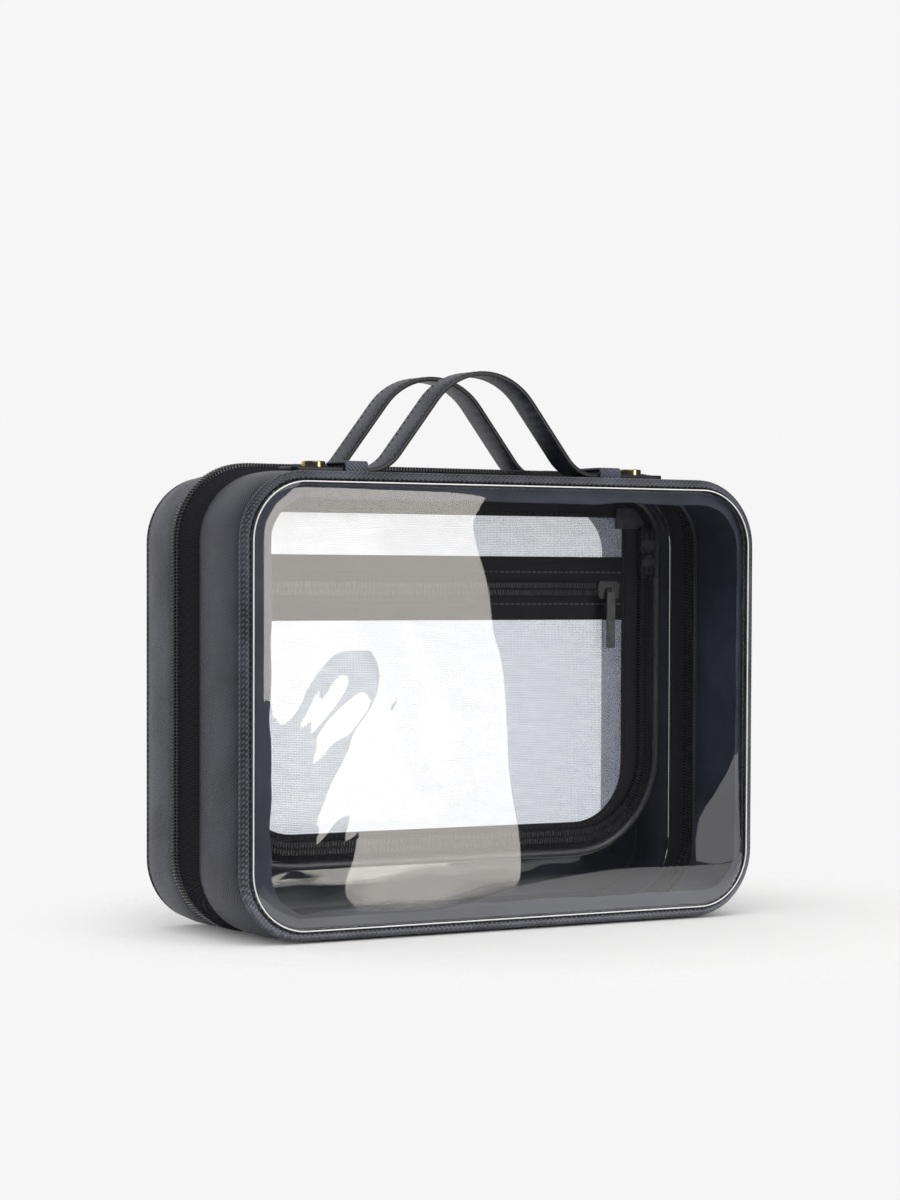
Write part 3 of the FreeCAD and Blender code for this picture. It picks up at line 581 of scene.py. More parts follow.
# The clear front and back. Each is a sheet of clear vinyl, caught under the
# binding's edge. It doesn't lie quite flat, so lamps shine in it in waves, and a
# few soft dents near the front's lower left corner break them up.
FILM_THICK = 0.0008
FILM_CELL = 0.0026
FILM_TINT = (0.985, 0.99, 0.99, 1)
FILM_SHADE = (0.93, 0.935, 0.935, 1)
RIM_WIDTH = 0.0050
FILM_WAVES = (0.11, 0.0016, (0.3, 0.1, 0.05), 0.02)
DENTS = (0.018, 0.00065, 0.5)
DENT_STRETCH = (1, 4.5, 1)
DENT_LEAN = -0.62
DENT_CENTRE = (-0.092, 0.078)
DENT_REACH = (0.050, 0.048)
HIGHLIGHT_TUBE_INSET = 0.0058
HIGHLIGHT_TUBE_RADIUS = 0.00034
HIGHLIGHT_TUBE_LIFT = 0.0552


def clear_vinyl(name, ripple, haze=0.015):
    """Clear film that lets the lamps through, with a faint ripple on its skin."""
    finish, tree, place = new_finish(name)
    swell = add_node(
        tree, "TexNoise",
        {"Vector": place, "Scale": 14.0, "Detail": 1.0, "Roughness": 0.4, "Distortion": 0.4},
    ).outputs["Fac"]
    film = add_node(
        tree, "BsdfPrincipled",
        {
            "Base Color": FILM_TINT, "Roughness": haze, "IOR": 1.5, "Transmission Weight": 1.0,
            "Normal": bumps(tree, swell, 1.0, ripple),
        },
    )
    lamp_way = add_node(tree, "BsdfTransparent", {"Color": FILM_SHADE})
    ray = add_node(tree, "LightPath").outputs["Is Shadow Ray"]
    add_node(tree, "OutputMaterial", {"Surface": mix(tree, ray, film, lamp_way).outputs[0]})
    return finish


def grid_blank(name, half_width, low, high, low_round, high_round, cell, steps):
    """A rounded blank with an even grid of cells, for sheets that aren't flat."""
    width, height = 2 * half_width, high - low
    columns, rows = round(width / cell), round(height / cell)
    blank = flat_sheet(name, (0, (low + high) / 2, 0), width, height, columns, rows)
    start_work(blank)
    for side in (-1, 1):
        for corner_round, centre_y, up in (
            (low_round, low + low_round, -1), (high_round, high - high_round, 1),
        ):
            centre = Vector((side * (half_width - corner_round), centre_y, 0))
            for step in range(1, steps):
                lean = math.radians(90 * step / steps)
                away = Vector((side * math.cos(lean), up * math.sin(lean), 0))
                slice_through(centre + away * corner_round, away, True)
    bpy.ops.mesh.select_all(action="SELECT")
    bpy.ops.mesh.remove_doubles(threshold=0.00002)
    end_work()
    return blank


def crease(
    cloth, name, size, strength, level, direction, weights,
    stretch=(1, 1, 1), lean=0.0, place=(0, 0, 0), layers=2,
):
    """Moves a sheet in folds of this size, as far as each corner's weight lets it."""
    group = cloth.vertex_groups.new(name=name)
    for corner in cloth.data.vertices:
        group.add([corner.index], min(1.0, max(0.0, weights(corner.co))), "REPLACE")
    folds = bpy.data.textures.new(cloth.name + "_" + name, "CLOUDS")
    folds.noise_scale = size
    folds.noise_depth = layers
    guide = bpy.data.objects.new(name, None)
    bpy.context.scene.collection.objects.link(guide)
    guide.location = place
    guide.rotation_euler = (0, 0, lean)
    guide.scale = stretch
    bpy.context.view_layer.update()
    apply_modifier(
        cloth, "DISPLACE", texture=folds, strength=strength, mid_level=level, vertex_group=name,
        direction=direction, texture_coords="OBJECT", texture_coords_object=guide,
    )
    bpy.data.objects.remove(guide)
    cloth.vertex_groups.clear()


def billow(piece, size, strength, place, rim):
    """Lifts a sheet in slow waves that die out towards its rim."""
    low = Vector([min(c.co[i] for c in piece.data.vertices) for i in range(3)])
    high = Vector([max(c.co[i] for c in piece.data.vertices) for i in range(3)])
    crease(
        piece, "waves", size, strength, 0.5, "Z",
        lambda co: min(co.x - low.x, high.x - co.x, co.y - low.y, high.y - co.y) / rim,
        place=place, layers=1,
    )


def dent_weight(co):
    """How much a place on the clear front is dented."""
    across = (co.x - DENT_CENTRE[0]) / DENT_REACH[0]
    return 1.3 - math.hypot(across, (co.y - DENT_CENTRE[1]) / DENT_REACH[1])


def roll_rim(piece, drop):
    """Rolls the rim of a sheet back in a curve."""
    start_work(piece)
    pick(piece, "VERT", lambda corner: corner.is_boundary)
    bpy.ops.transform.translate(
        value=(0, 0, -drop), use_proportional_edit=True, proportional_edit_falloff="SHARP",
        proportional_size=RIM_WIDTH,
    )
    end_work()


def set_level(piece, level):
    """Lifts flat bench work to its level."""
    piece.location.z = level
    settle(piece)


def tube_along(path, name, radius, level):
    """A round core along a path, as a mesh."""
    path.data.bevel_depth = radius
    path.data.bevel_resolution = 2
    path.data.use_fill_caps = True
    choose(path)
    bpy.ops.object.convert(target="MESH")
    path.name = name
    start_work(path)
    bpy.ops.mesh.select_all(action="SELECT")
    bpy.ops.transform.translate(value=(0, 0, level))
    bpy.ops.mesh.normals_make_consistent(inside=False)
    end_work()
    return path


def speckled(name, scale, detail, dark, pale, gloss, bump=0.0, metal=0.0, low=0.0, high=1.0):
    """A speckled finish of two tones; its gloss is one value or a range of them."""
    finish, tree, place = new_finish(name)
    marks = specks(tree, place, scale, detail)
    roughness = spread(tree, marks, *gloss) if isinstance(gloss, tuple) else gloss
    normal = bumps(tree, marks, 0.3, bump) if bump else None
    colour = two_tones(tree, marks, dark, pale, low, high)
    coat_with(tree, colour, roughness, normal, more={"Metallic": metal})
    return finish


# A thin pale tube round the rim of the clear front carries a painted highlight: its near-white colour stands
# in for the light that the film's rolled rim catches.
painted_rim_highlight = speckled("painted_rim_highlight", 160.0, 2.0, (0.74, 0.74, 0.76), (0.95, 0.95, 0.95), 0.25)
front_vinyl = clear_vinyl("front_vinyl", 0.00006, 0.003)
rear_vinyl = clear_vinyl("rear_vinyl", 0.0004)
for body, node, side, low, high, corner_round, depth, drop, vinyl, turned in (
    ("front_tray", "front_window", 0.1479, 0.0046, 0.2244, 0.0304, 0.0546, 0.0036, front_vinyl, False),
    ("rear_tray", "rear_window", 0.1305, 0.0090, 0.2200, 0.0290, 0.0502, 0.0004, rear_vinyl, True),
):
    film = grid_blank(node + "_film", side, low, high, corner_round, corner_round, FILM_CELL, 14)
    billow(film, *FILM_WAVES)
    if not turned:
        crease(film, "dents", *DENTS, "Z", dent_weight, DENT_STRETCH, DENT_LEAN)
    roll_rim(film, drop)
    set_level(film, depth)
    apply_modifier(film, "SOLIDIFY", thickness=FILM_THICK, offset=1)
    film.data.materials.append(vinyl)
    if not turned:
        # The clear front gets the thin tube with the painted rim highlight along its edge.
        highlight_tube_line = outline_path(case_blank("highlight_tube", HIGHLIGHT_TUBE_INSET, BINDING_STEPS))
        highlight_tube = tube_along(highlight_tube_line, "highlight_tube", HIGHLIGHT_TUBE_RADIUS, HIGHLIGHT_TUBE_LIFT)
        highlight_tube.data.materials.append(painted_rim_highlight)
        join(film, highlight_tube)
    smooth(film)
    stand(film, turned)
    fit(film, body, "clear_film", node)


# The frame on the back. A border of cross-grain leather lies round the clear back
# and is sewn to it with one row of dark thread near its inner edge. An outline is
# its half width, its low and high ends, and its low and high corner radius.
BACK_OUTLINE = (0.1479, 0.0046, 0.2244, 0.0304, 0.0304)
BACK_OPENING = (0.1265, 0.013, 0.216, 0.025, 0.025)
BACK_SEAM = (0.1290, 0.0105, 0.2185, 0.0275, 0.0275)
BACK_LEVEL = 0.0526
BACK_LEATHER = 0.0014
BACK_EDGE = 0.0004
SEAM_RISE = 0.0001


def frame_blank(name, outer, inner, rings):
    """A flat frame between two outlines, with extra rings between them."""
    outside = cut_blank(name, *outer)
    join(outside, cut_blank(name + "_hole", *inner))
    keep_edges(outside)
    pick(outside, "EDGE", lambda edge: True)
    bpy.ops.mesh.bridge_edge_loops(number_cuts=rings, interpolation="LINEAR")
    face_up(outside)
    end_work()
    return outside


def round_edges(piece, width, angle=50):
    """Rounds the edges of a piece that are sharper than the angle."""
    apply_modifier(
        piece, "BEVEL", width=width, segments=2, limit_method="ANGLE", angle_limit=math.radians(angle),
    )


def sewn_frame(name, outer, inner, seam, rings, level, thick, finish, edge=0.0, turned=False):
    """A flat frame of leather or tape with one row of stitches."""
    piece = frame_blank(name, outer, inner, rings)
    set_level(piece, level)
    apply_modifier(piece, "SOLIDIFY", thickness=thick, offset=-1)
    if edge:
        round_edges(piece, edge)
    piece.data.materials.append(finish)
    smooth(piece)
    sew(piece, outline_path(cut_blank("seam_line", *seam)), level + SEAM_RISE, dark_thread)
    stand(piece, turned)
    return piece


back_frame = sewn_frame(
    "rear_border_frame", BACK_OUTLINE, BACK_OPENING, BACK_SEAM, 2, BACK_LEVEL, BACK_LEATHER,
    binding_leather, BACK_EDGE, True,
)
fit(back_frame, "rear_tray", "saffiano", "rear_border")


# The linings. Slack dark cloth is sewn in along both edges of each wall, so it
# stands off the leather in soft folds, and its lip turns in behind the clear sheet.
# The lip sits off centre, and along the rear tray's bottom it slopes up.
LINING_CLOTH = 0.0004
LINING_INSET = 0.0042
LINING_FACE = 0.0478
LINING_CELL = 0.005
LINING_ROW = 0.0040
LINING_TURN = ((0.0004, 0.0007), (0.0008, 0.0004))
LIP = 0.0084
LIP_OFF_CENTRE = 0.0046
LIP_START = LINING_INSET + 0.0012
LIP_TOP = LINING_FACE + 0.0010
LIP_BOTTOM = 0.02
FOLDS = (0.024, -0.0042, 0.28)
FOLD_EASE = 0.010
PLEATS = (0.0065, -0.0022, 0.45)
PLEAT_STRETCH = (1, 1, 7)
PLEAT_REACH = 0.016
PLEAT_EASE = 0.003
RAGS = (0.016, 0.0042, 0.5)
LINING_DARK = (0.014, 0.017, 0.030)
LINING_PALE = (0.046, 0.053, 0.080)


def rim_distance(place):
    """How far a place on the bench lies inside the case's outline."""
    across = CASE_HALF_WIDTH - CASE_ROUND - abs(place.x)
    up = CASE_HEIGHT / 2 - CASE_ROUND - abs(place.y - CASE_HEIGHT / 2)
    if across > 0 or up > 0:
        return min(across, up) + CASE_ROUND
    return CASE_ROUND - math.hypot(across, up)


def lining_cloth(name):
    """Closely woven dark satin with fine threads."""
    finish, tree, place = new_finish(name)
    warp = stripes(tree, place, 520.0, "Y", 1.0)
    weft = stripes(tree, place, 360.0, "DIAGONAL", 1.0)
    weave = combine(tree, "MULTIPLY", warp, weft)
    mixed = combine(tree, "MULTIPLY_ADD", weave, 0.2, specks(tree, place, 24.0, 3.0))
    tone = two_tones(tree, mixed, LINING_DARK, LINING_PALE, 0.3, 1.0)
    coat_with(tree, tone, 0.5, bumps(tree, weave, 0.2, 0.00005), 0.25)
    return finish


def divide_long_edges(piece, longest):
    """Divides the straight runs of a blank, so that cloth can fold along them."""
    start_work(piece)
    for cuts, least in ((3, 8 * longest), (3, 2.5 * longest), (1, 1.2 * longest)):
        pick(piece, "EDGE", lambda edge: edge.calc_length() > least)
        bpy.ops.mesh.subdivide(number_cuts=cuts)
    end_work()


def draw_lip(across, up):
    """In edit mode, draws the selected rim of a lip along with the cloth beside it."""
    bpy.ops.transform.translate(
        value=(across, up, 0), use_proportional_edit=True, use_proportional_connected=True,
        proportional_edit_falloff="LINEAR", proportional_size=LIP,
    )


satin_lining = lining_cloth("satin_lining")
for body, node, leather, zip_edge, slope, turned in (
    ("front_tray", "front_lining", "front_gusset_leather", 0.0066, 0.0, False),
    ("rear_tray", "rear_lining", "rear_gusset_leather", 0.0196, 0.0165, True),
):
    cloth = case_blank(node + "_cloth", LINING_INSET, 12)
    divide_long_edges(cloth, LINING_CELL)
    rows = round((LINING_FACE - zip_edge) / LINING_ROW)
    row = (LINING_FACE - zip_edge) / rows
    raise_ring(cloth, zip_edge, ((0, row),) * rows + LINING_TURN + ((LIP / 3, 0.0),) * 3)
    start_work(cloth)
    pick(cloth, "VERT", lambda c: c.is_boundary and c.co.z > LIP_TOP)
    draw_lip(LIP_OFF_CENTRE, 0)
    if slope:
        pick(cloth, "VERT", lambda c: c.is_boundary and c.co.z > LIP_TOP and c.co.y < LIP_BOTTOM)
        draw_lip(0, slope)
    end_work()
    crease(
        cloth, "folds", *FOLDS, "NORMAL",
        lambda co: min(co.z - zip_edge, LINING_FACE - co.z) / FOLD_EASE,
    )
    crease(
        cloth, "pleats", *PLEATS, "NORMAL",
        lambda co: min(1 - (LINING_FACE - co.z) / PLEAT_REACH, (LIP_TOP - co.z) / PLEAT_EASE),
        PLEAT_STRETCH,
    )
    for name, way in (("ragged_across", "X"), ("ragged_up", "Y")):
        crease(
            cloth, name, *RAGS, way,
            lambda co: (co.z > LIP_TOP) * (LIP_START - rim_distance(co)) / -LIP,
        )
    start_work(cloth)
    bpy.ops.mesh.select_all(action="SELECT")
    bpy.ops.mesh.flip_normals()
    end_work()
    apply_modifier(cloth, "SOLIDIFY", thickness=LINING_CLOTH, offset=-1)
    apply_modifier(cloth, "SUBSURF", levels=1, render_levels=1)
    dress(cloth, satin_lining, turned, 80)
    fit(cloth, body, "lining", node)


# The zip tapes. Black woven tape slopes from the turned-in edge of each wall up
# to the chain, all round apart from the hinge along the bottom.
RIDGE_OUTLINE = (0.156, 0.0, 0.2325, 0.0385, 0.0385)
ZIP_END = 0.112
TAPE_SEAT = 0.0034
TAPE_THICK = 0.0007
TAPE_DARK = (0.005, 0.005, 0.007)
TAPE_PALE = (0.030, 0.030, 0.039)


def woven_tape(name):
    """Herringbone tape: rows of short slanted threads."""
    finish, tree, place = new_finish(name)
    slant = stripes(tree, place, 620.0, "DIAGONAL", 0.5)
    turned = add_node(tree, "Mapping", {"Vector": place, "Scale": (1, -1, 1)}).outputs["Vector"]
    back_slant = stripes(tree, turned, 620.0, "DIAGONAL", 0.5)
    rows = add_node(tree, "TexChecker", {"Vector": place, "Scale": 500.0}).outputs["Fac"]
    thread = add_node(tree, "Mix", {0: rows, 2: slant, 3: back_slant}, data_type="FLOAT").outputs[0]
    tone = two_tones(tree, thread, TAPE_DARK, TAPE_PALE)
    coat_with(tree, tone, 0.78, bumps(tree, thread, 0.6, 0.00012), 0.2)
    return finish


def cut_at_zip_ends():
    """In edit mode, cuts through a piece where the zip ends."""
    for end in (-ZIP_END, ZIP_END):
        slice_through((end, 0, 0), (1, 0, 0))


def over_hinge(part):
    """Whether an edge or a face lies along the hinge."""
    return abs(middle(part).x) < ZIP_END - 1e-4 and middle(part).y < 0.02


black_tape = woven_tape("black_tape")
for body, node, tray_edge, chain_edge, turned in (
    ("front_tray", "front_zip_tape", 0.0042, -0.0056, False),
    ("rear_tray", "rear_zip_tape", 0.0172, 0.0124, True),
):
    tape = cut_blank(node + "_woven", *RIDGE_OUTLINE)
    set_level(tape, chain_edge)
    seat = case_blank("tape_seat", TAPE_SEAT)
    set_level(seat, tray_edge)
    join(tape, seat)
    keep_edges(tape)
    pick(tape, "EDGE", lambda edge: True)
    bpy.ops.mesh.bridge_edge_loops(number_cuts=4, interpolation="LINEAR")
    cut_at_zip_ends()
    pick(tape, "FACE", over_hinge)
    bpy.ops.mesh.delete(type="FACE")
    face_outwards()
    end_work()
    apply_modifier(tape, "SOLIDIFY", thickness=TAPE_THICK, offset=-1)
    dress(tape, black_tape, turned)
    fit(tape, body, "zip_tape", node)


# The zip chain. Each half is a nylon coil sewn along its tape, and the turns of
# the two halves lie between each other. A turn is its thickness, length and height.
CHAIN_OUTLINE = (0.1556, 0.00175, 0.2321, 0.0381, 0.0381)
COIL_PITCH = 0.0017
COIL_CORE = 0.0011
COIL_TURN = (0.00062, 0.0042, 0.0034)
NYLON_DARK = (0.012, 0.012, 0.015)
NYLON_PALE = (0.050, 0.050, 0.058)


def one_turn(thick, long, high, level):
    """One turn of a coil, lying across the chain: a bar with rounded ends."""
    bpy.ops.mesh.primitive_cylinder_add(vertices=8, radius=thick, depth=long, location=(0, 0, level))
    turn = bpy.context.object
    turn.scale = (1, high / (2 * thick), 1)
    settle(turn)
    start_work(turn)
    pick(turn, "FACE", lambda face: abs(face.normal.z) > 0.9)
    bpy.ops.mesh.inset(thickness=0.3 * thick, depth=0.5 * thick, use_individual=True)
    end_work()
    return turn


def chain_path():
    """The run of the chain, from one end of the hinge round to the other."""
    run = cut_blank("chain_line", *CHAIN_OUTLINE, 16)
    keep_edges(run)
    cut_at_zip_ends()
    pick(run, "EDGE", over_hinge)
    bpy.ops.mesh.delete(type="EDGE")
    return as_line(run)


def coil_half(name, core_line, turn_line, core, level, turn, turn_level, pitch, shift):
    """Half of a zip chain: a core with single turns across it."""
    coil = tube_along(core_line, name, core, level)
    turns = repeat_along(one_turn(*turn, turn_level), turn_line, pitch, shift * pitch)
    return join(coil, turns)


black_nylon = speckled("black_nylon", 1500.0, 2.0, NYLON_DARK, NYLON_PALE, (0.14, 0.30))
for body, node, level, shift, turned in (
    ("front_tray", "front_zip_coil", -0.0072, 0.0, False), ("rear_tray", "rear_zip_coil", 0.0108, 0.5, True),
):
    coil = coil_half(
        node + "_turns", chain_path(), chain_path(), COIL_CORE, level, COIL_TURN, level, COIL_PITCH, shift,
    )
    dress(coil, black_nylon, turned)
    fit(coil, body, "zip_coil", node)


# The hinge. One strip of leather along the bottom joins the trays where the zip stops.
HINGE_LEATHER = 0.0012
HINGE_EDGE = 0.0003
HINGE_LIFT = 0.0002
hinge_low, hinge_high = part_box("front_hinge_strip")[0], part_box("rear_hinge_strip")[1]
hinge = flat_sheet(
    "hinge_strip", (0, (hinge_low.y + hinge_high.y) / 2, hinge_low.z + HINGE_LIFT),
    hinge_high.x - hinge_low.x, hinge_high.y - hinge_low.y, 40, 28,
)
apply_modifier(hinge, "SOLIDIFY", thickness=HINGE_LEATHER, offset=1)
round_edges(hinge, HINGE_EDGE)
smooth(hinge)
hinge.data.materials.append(wall_leather)
fit(hinge, None, "leather", "front_hinge_strip", "rear_hinge_strip")
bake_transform(hinge)


# The divider. A clear vinyl border in the rear tray carries a piped edge and the
# outer half of the zip that closes the mesh flap. Piping is a thin dark skin over
# a cord.
BORDER_OUTLINE = (0.1481, 0.0044, 0.2246, 0.0306, 0.0306)
BORDER_OPENING = (0.1411, 0.0279, 0.2236, 0.0551, 0.0241)
BORDER_LEVEL = -0.0184
BORDER_WAVES = (0.03, 0.0022, (0.2, 0.4, 0.1), 0.006)
PIPING_OUTLINE = (0.139, 0.030, 0.2215, 0.053, 0.022)
PIPING_RADIUS = 0.002
PIPING_LEVEL = -0.018
PIPING_DARK = (0.040, 0.041, 0.048)
PIPING_PALE = (0.090, 0.091, 0.100)
OUTER_TAPE_OUTLINE = (0.1369, 0.0321, 0.2194, 0.0509, 0.0199)
OUTER_TAPE_OPENING = (0.1303, 0.0387, 0.2176, 0.0443, 0.0166)
OUTER_TAPE_SEAM = (0.1352, 0.0338, 0.2187, 0.0492, 0.0182)
INNER_TAPE_LEVEL = -0.0178
OUTER_ARCH = (0.1319, 0.0371, 0.0459)
INNER_COIL_TOP = 0.204
INNER_COIL_CORE = 0.0010
INNER_COIL_LEVEL = -0.0160
INNER_COIL_TURN = (0.00056, 0.0030, 0.0040)
INNER_TURN_LEVEL = -0.0158
INNER_COIL_PITCH = 0.0016

border = frame_blank("divider_border_film", BORDER_OUTLINE, BORDER_OPENING, 6)
billow(border, *BORDER_WAVES)
set_level(border, BORDER_LEVEL)
apply_modifier(border, "SOLIDIFY", thickness=FILM_THICK, offset=1)
dress(border, clear_vinyl("divider_vinyl", 0.0012))
fit(border, "rear_tray", "clear_film", "divider_border")

piping_line = outline_path(cut_blank("piping_line", *PIPING_OUTLINE, 20))
piping = tube_along(piping_line, "divider_piping_cord", PIPING_RADIUS, PIPING_LEVEL)
piping_skin = speckled("piping_skin", 260.0, 3.0, PIPING_DARK, PIPING_PALE, 0.34, 0.0001)
dress(piping, piping_skin, angle=80)
fit(piping, "rear_tray", "piping", "divider_piping")


def arch_path(half_width, low, low_round):
    """A U-shaped run: down one side, along the bottom and up the other."""
    run = cut_blank("arch_line", half_width, low, INNER_COIL_TOP + 0.1, low_round, 0.01, 18)
    keep_edges(run)
    slice_through((0, INNER_COIL_TOP, 0), (0, 1, 0), True)
    return as_line(run)


def inner_coil(name, arch, shift):
    """Half of the divider's zip, modelled as the main zip is."""
    coil = coil_half(
        name, arch_path(*arch), arch_path(*arch), INNER_COIL_CORE, INNER_COIL_LEVEL,
        INNER_COIL_TURN, INNER_TURN_LEVEL, INNER_COIL_PITCH, shift,
    )
    dress(coil, black_nylon)
    return coil


outer_tape = sewn_frame(
    "divider_outer_tape_woven", OUTER_TAPE_OUTLINE, OUTER_TAPE_OPENING, OUTER_TAPE_SEAM, 1,
    INNER_TAPE_LEVEL, TAPE_THICK, black_tape,
)
fit(outer_tape, "rear_tray", "zip_tape", "divider_outer_tape")
outer_coil = inner_coil("divider_outer_coil_turns", OUTER_ARCH, 0.0)
fit(outer_coil, "rear_tray", "zip_coil", "divider_outer_coil")


# The mesh flap. Sheer mesh in a frame of zip tape hangs from the top of the
# divider, with a second sheet behind it as the back of the pocket.
FLAP_TAPE_OUTLINE = (0.1297, 0.0393, 0.2170, 0.0437, 0.016)
FLAP_TAPE_OPENING = (0.1167, 0.0463, 0.2100, 0.0307, 0.008)
FLAP_TAPE_SEAM = (0.1187, 0.0443, 0.2120, 0.0327, 0.010)
FLAP_ARCH = (0.1281, 0.0409, 0.0421)
NET_OUTLINE = (0.1207, 0.0423, 0.2140, 0.0347, 0.012)
NET_THICK = 0.0001
NET_CELL = 0.006
NET_PITCH = 349.0
NET_DARK = (0.44, 0.48, 0.60)
NET_PALE = (0.60, 0.64, 0.75)

flap_tape = sewn_frame(
    "flap_tape_woven", FLAP_TAPE_OUTLINE, FLAP_TAPE_OPENING, FLAP_TAPE_SEAM, 2,
    INNER_TAPE_LEVEL, TAPE_THICK, black_tape,
)
fit(flap_tape, "mesh_flap", "zip_tape", "flap_tape")
flap_coil = inner_coil("flap_coil_turns", FLAP_ARCH, 0.5)
fit(flap_coil, "mesh_flap", "zip_coil", "flap_coil")


def sheer_mesh(name, cover):
    """Sheer mesh: crossing pale threads, uneven as spun thread is, open between."""
    finish, tree, place = new_finish(name)
    warp, weft = (stripes(tree, place, NET_PITCH, way, 0.2, 0.6) for way in "XZ")
    threads = combine(tree, "MAXIMUM", warp, weft)
    stretched = add_node(tree, "Mapping", {"Vector": place, "Scale": (1, 1, 3)}).outputs["Vector"]
    slub = specks(tree, stretched, 90.0, 4.0)
    closed = spread(tree, threads, 0.06, cover, 0.35, 1.0)
    uneven = spread(tree, slub, 0.85, 1.15, 0.3, 0.7)
    shut = combine(tree, "MULTIPLY", closed, uneven)
    coat_with(tree, two_tones(tree, slub, NET_DARK, NET_PALE), 0.6, more={"Alpha": shut})
    return finish


for node, cover, level in (("mesh_panel", 0.30, -0.0187), ("pocket_back", 0.15, -0.0191)):
    net = grid_blank(node + "_net", *NET_OUTLINE, NET_CELL, 6)
    set_level(net, level)
    apply_modifier(net, "SOLIDIFY", thickness=NET_THICK, offset=0)
    dress(net, sheer_mesh(node + "_threads", cover))
    fit(net, "mesh_flap", "mesh", node)


# The pocket's zip band: a strip of black cloth across the mesh, sewn down by two
# rows of stitches, with a straight zip in the middle.
BAND_CLOTH = 0.0006
BAND_EDGE = 0.0002
BAND_SEAM = 0.1155
TWILL_DARK = (0.005, 0.005, 0.007)
TWILL_PALE = (0.011, 0.012, 0.017)
POCKET_CORE_END = 0.1135
POCKET_TURN_END = 0.1130
POCKET_TURN = (0.00056, 0.0030, 0.0038)


def straight_path(half_length, height):
    """A straight run across the flap."""
    run = flat_sheet("straight_line", (0, height, 0), 2 * half_length, 0.001)
    start_work(run)
    pick(run, "EDGE", lambda edge: middle(edge).y < height + 1e-5)
    bpy.ops.mesh.delete(type="EDGE")
    return as_line(run)


band_low, band_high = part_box("pocket_band")
band = flat_sheet(
    "pocket_band_cloth", (0, (band_low.z + band_high.z) / 2, INNER_TAPE_LEVEL),
    band_high.x - band_low.x, band_high.z - band_low.z, 48, 10,
)
apply_modifier(band, "SOLIDIFY", thickness=BAND_CLOTH, offset=-1)
round_edges(band, BAND_EDGE)
pocket_twill = slanted_threads("pocket_twill", 520.0, 0.7, TWILL_DARK, TWILL_PALE, 0.7, 0.0001, 0.2)
band.data.materials.append(pocket_twill)
smooth(band)
pale_thread = thread_finish("pale_thread", (0.075, 0.078, 0.095))
for height in (0.163, 0.180):
    sew(band, straight_path(BAND_SEAM, height), INNER_TAPE_LEVEL + SEAM_RISE, pale_thread)
stand(band)
fit(band, "mesh_flap", "zip_tape", "pocket_band")

coil = join(*(
    coil_half(
        "pocket_coil_turns", straight_path(POCKET_CORE_END, height), straight_path(POCKET_TURN_END, height),
        INNER_COIL_CORE, INNER_COIL_LEVEL, POCKET_TURN, INNER_TURN_LEVEL, INNER_COIL_PITCH, shift,
    )
    for height, shift in ((0.1691, 0.0), (0.1729, 0.5))
))
dress(coil, black_nylon)
fit(coil, "mesh_flap", "zip_coil", "pocket_coil")


# The handles. Each is a strap of two layers of leather with painted edges and a
# row of stitches near each edge; its ends lie flat and the middle stands in an arch.
# A keeper loop of cross-grain leather holds each end down.
STRAP_WIDTH = 0.017
STRAP_THICK = 0.0024
STRAP_EDGE = 0.0005
STRAP_TIP = 0.111
TIP_ROUND = 0.0034
STRAP_FOOT = 0.068
FOOT_ROUND = 0.022
TOP_ROUND = 0.036
STRAP_FLAT = 0.2302
STRAP_TOP = 0.2808
ROW_LIFT = STRAP_THICK / 2 - 0.00025
ROW_SIDE = 0.0064
ROW_END = 0.006
ROW_PITCH = 0.0036
PAINT_DARK = (0.008, 0.008, 0.010)
PAINT_PALE = (0.020, 0.020, 0.025)
KEEPER_RIDGE = (0.17, 0.18, 0.25)
KEEPER_GRAIN = 0.0003
KEEPER_PITCH = 290.0
KEEPER_PLACE = 0.076
KEEPER_LEVEL = 0.2318
KEEPER_SIZE = (0.0128, 0.0209, 0.0058)
KEEPER_LEATHER = 0.0012
KEEPER_ROUND = 0.0022
KEEPER_EDGE = 0.0003


def run_of_strap(spare=0.0):
    """Draws the selected end along the strap's line, from one tip to the other."""
    foot = Vector((-STRAP_FOOT, 0, STRAP_FLAT + FOOT_ROUND))
    crown = Vector((0, 0, STRAP_TOP - TOP_ROUND))
    between = crown - foot
    lean = math.asin((FOOT_ROUND + TOP_ROUND) / between.length) + math.atan2(between.z, between.x)
    along = Vector((math.cos(lean), 0, math.sin(lean)))
    rise = (foot + FOOT_ROUND * Vector((math.sin(lean), 0, -math.cos(lean)))) - (
        crown + TOP_ROUND * Vector((-math.sin(lean), 0, math.cos(lean)))
    )

    def straight(length, heading, pieces):
        for _ in range(pieces):
            bpy.ops.mesh.extrude_region_move(
                TRANSFORM_OT_translate={"value": heading * (length / pieces)},
            )

    def bend(centre, angle, pieces):
        bpy.ops.mesh.spin(steps=pieces, angle=-angle, center=centre, axis=(0, 1, 0))

    straight(STRAP_TIP - spare - STRAP_FOOT, Vector((1, 0, 0)), 12)
    bend(foot, -lean, 10)
    straight(rise.length, along, 6)
    bend(crown, 2 * lean, 20)
    straight(rise.length, Vector((along.x, 0, -along.z)), 6)
    bend(Vector((STRAP_FOOT, 0, foot.z)), -lean, 10)
    straight(STRAP_TIP - spare - STRAP_FOOT, Vector((1, 0, 0)), 12)
    bpy.ops.mesh.select_all(action="SELECT")
    bpy.ops.mesh.remove_doubles(threshold=0.00001)


def strap_line(depth, spare):
    """The line that a row of stitches follows along the strap."""
    line = flat_sheet("row_line", (spare - STRAP_TIP, depth, STRAP_FLAT), 0.001, 0.001)
    start_work(line)
    pick(line, "VERT", lambda corner: True)
    bpy.ops.mesh.merge(type="CENTER")
    run_of_strap(spare)
    return as_line(line)


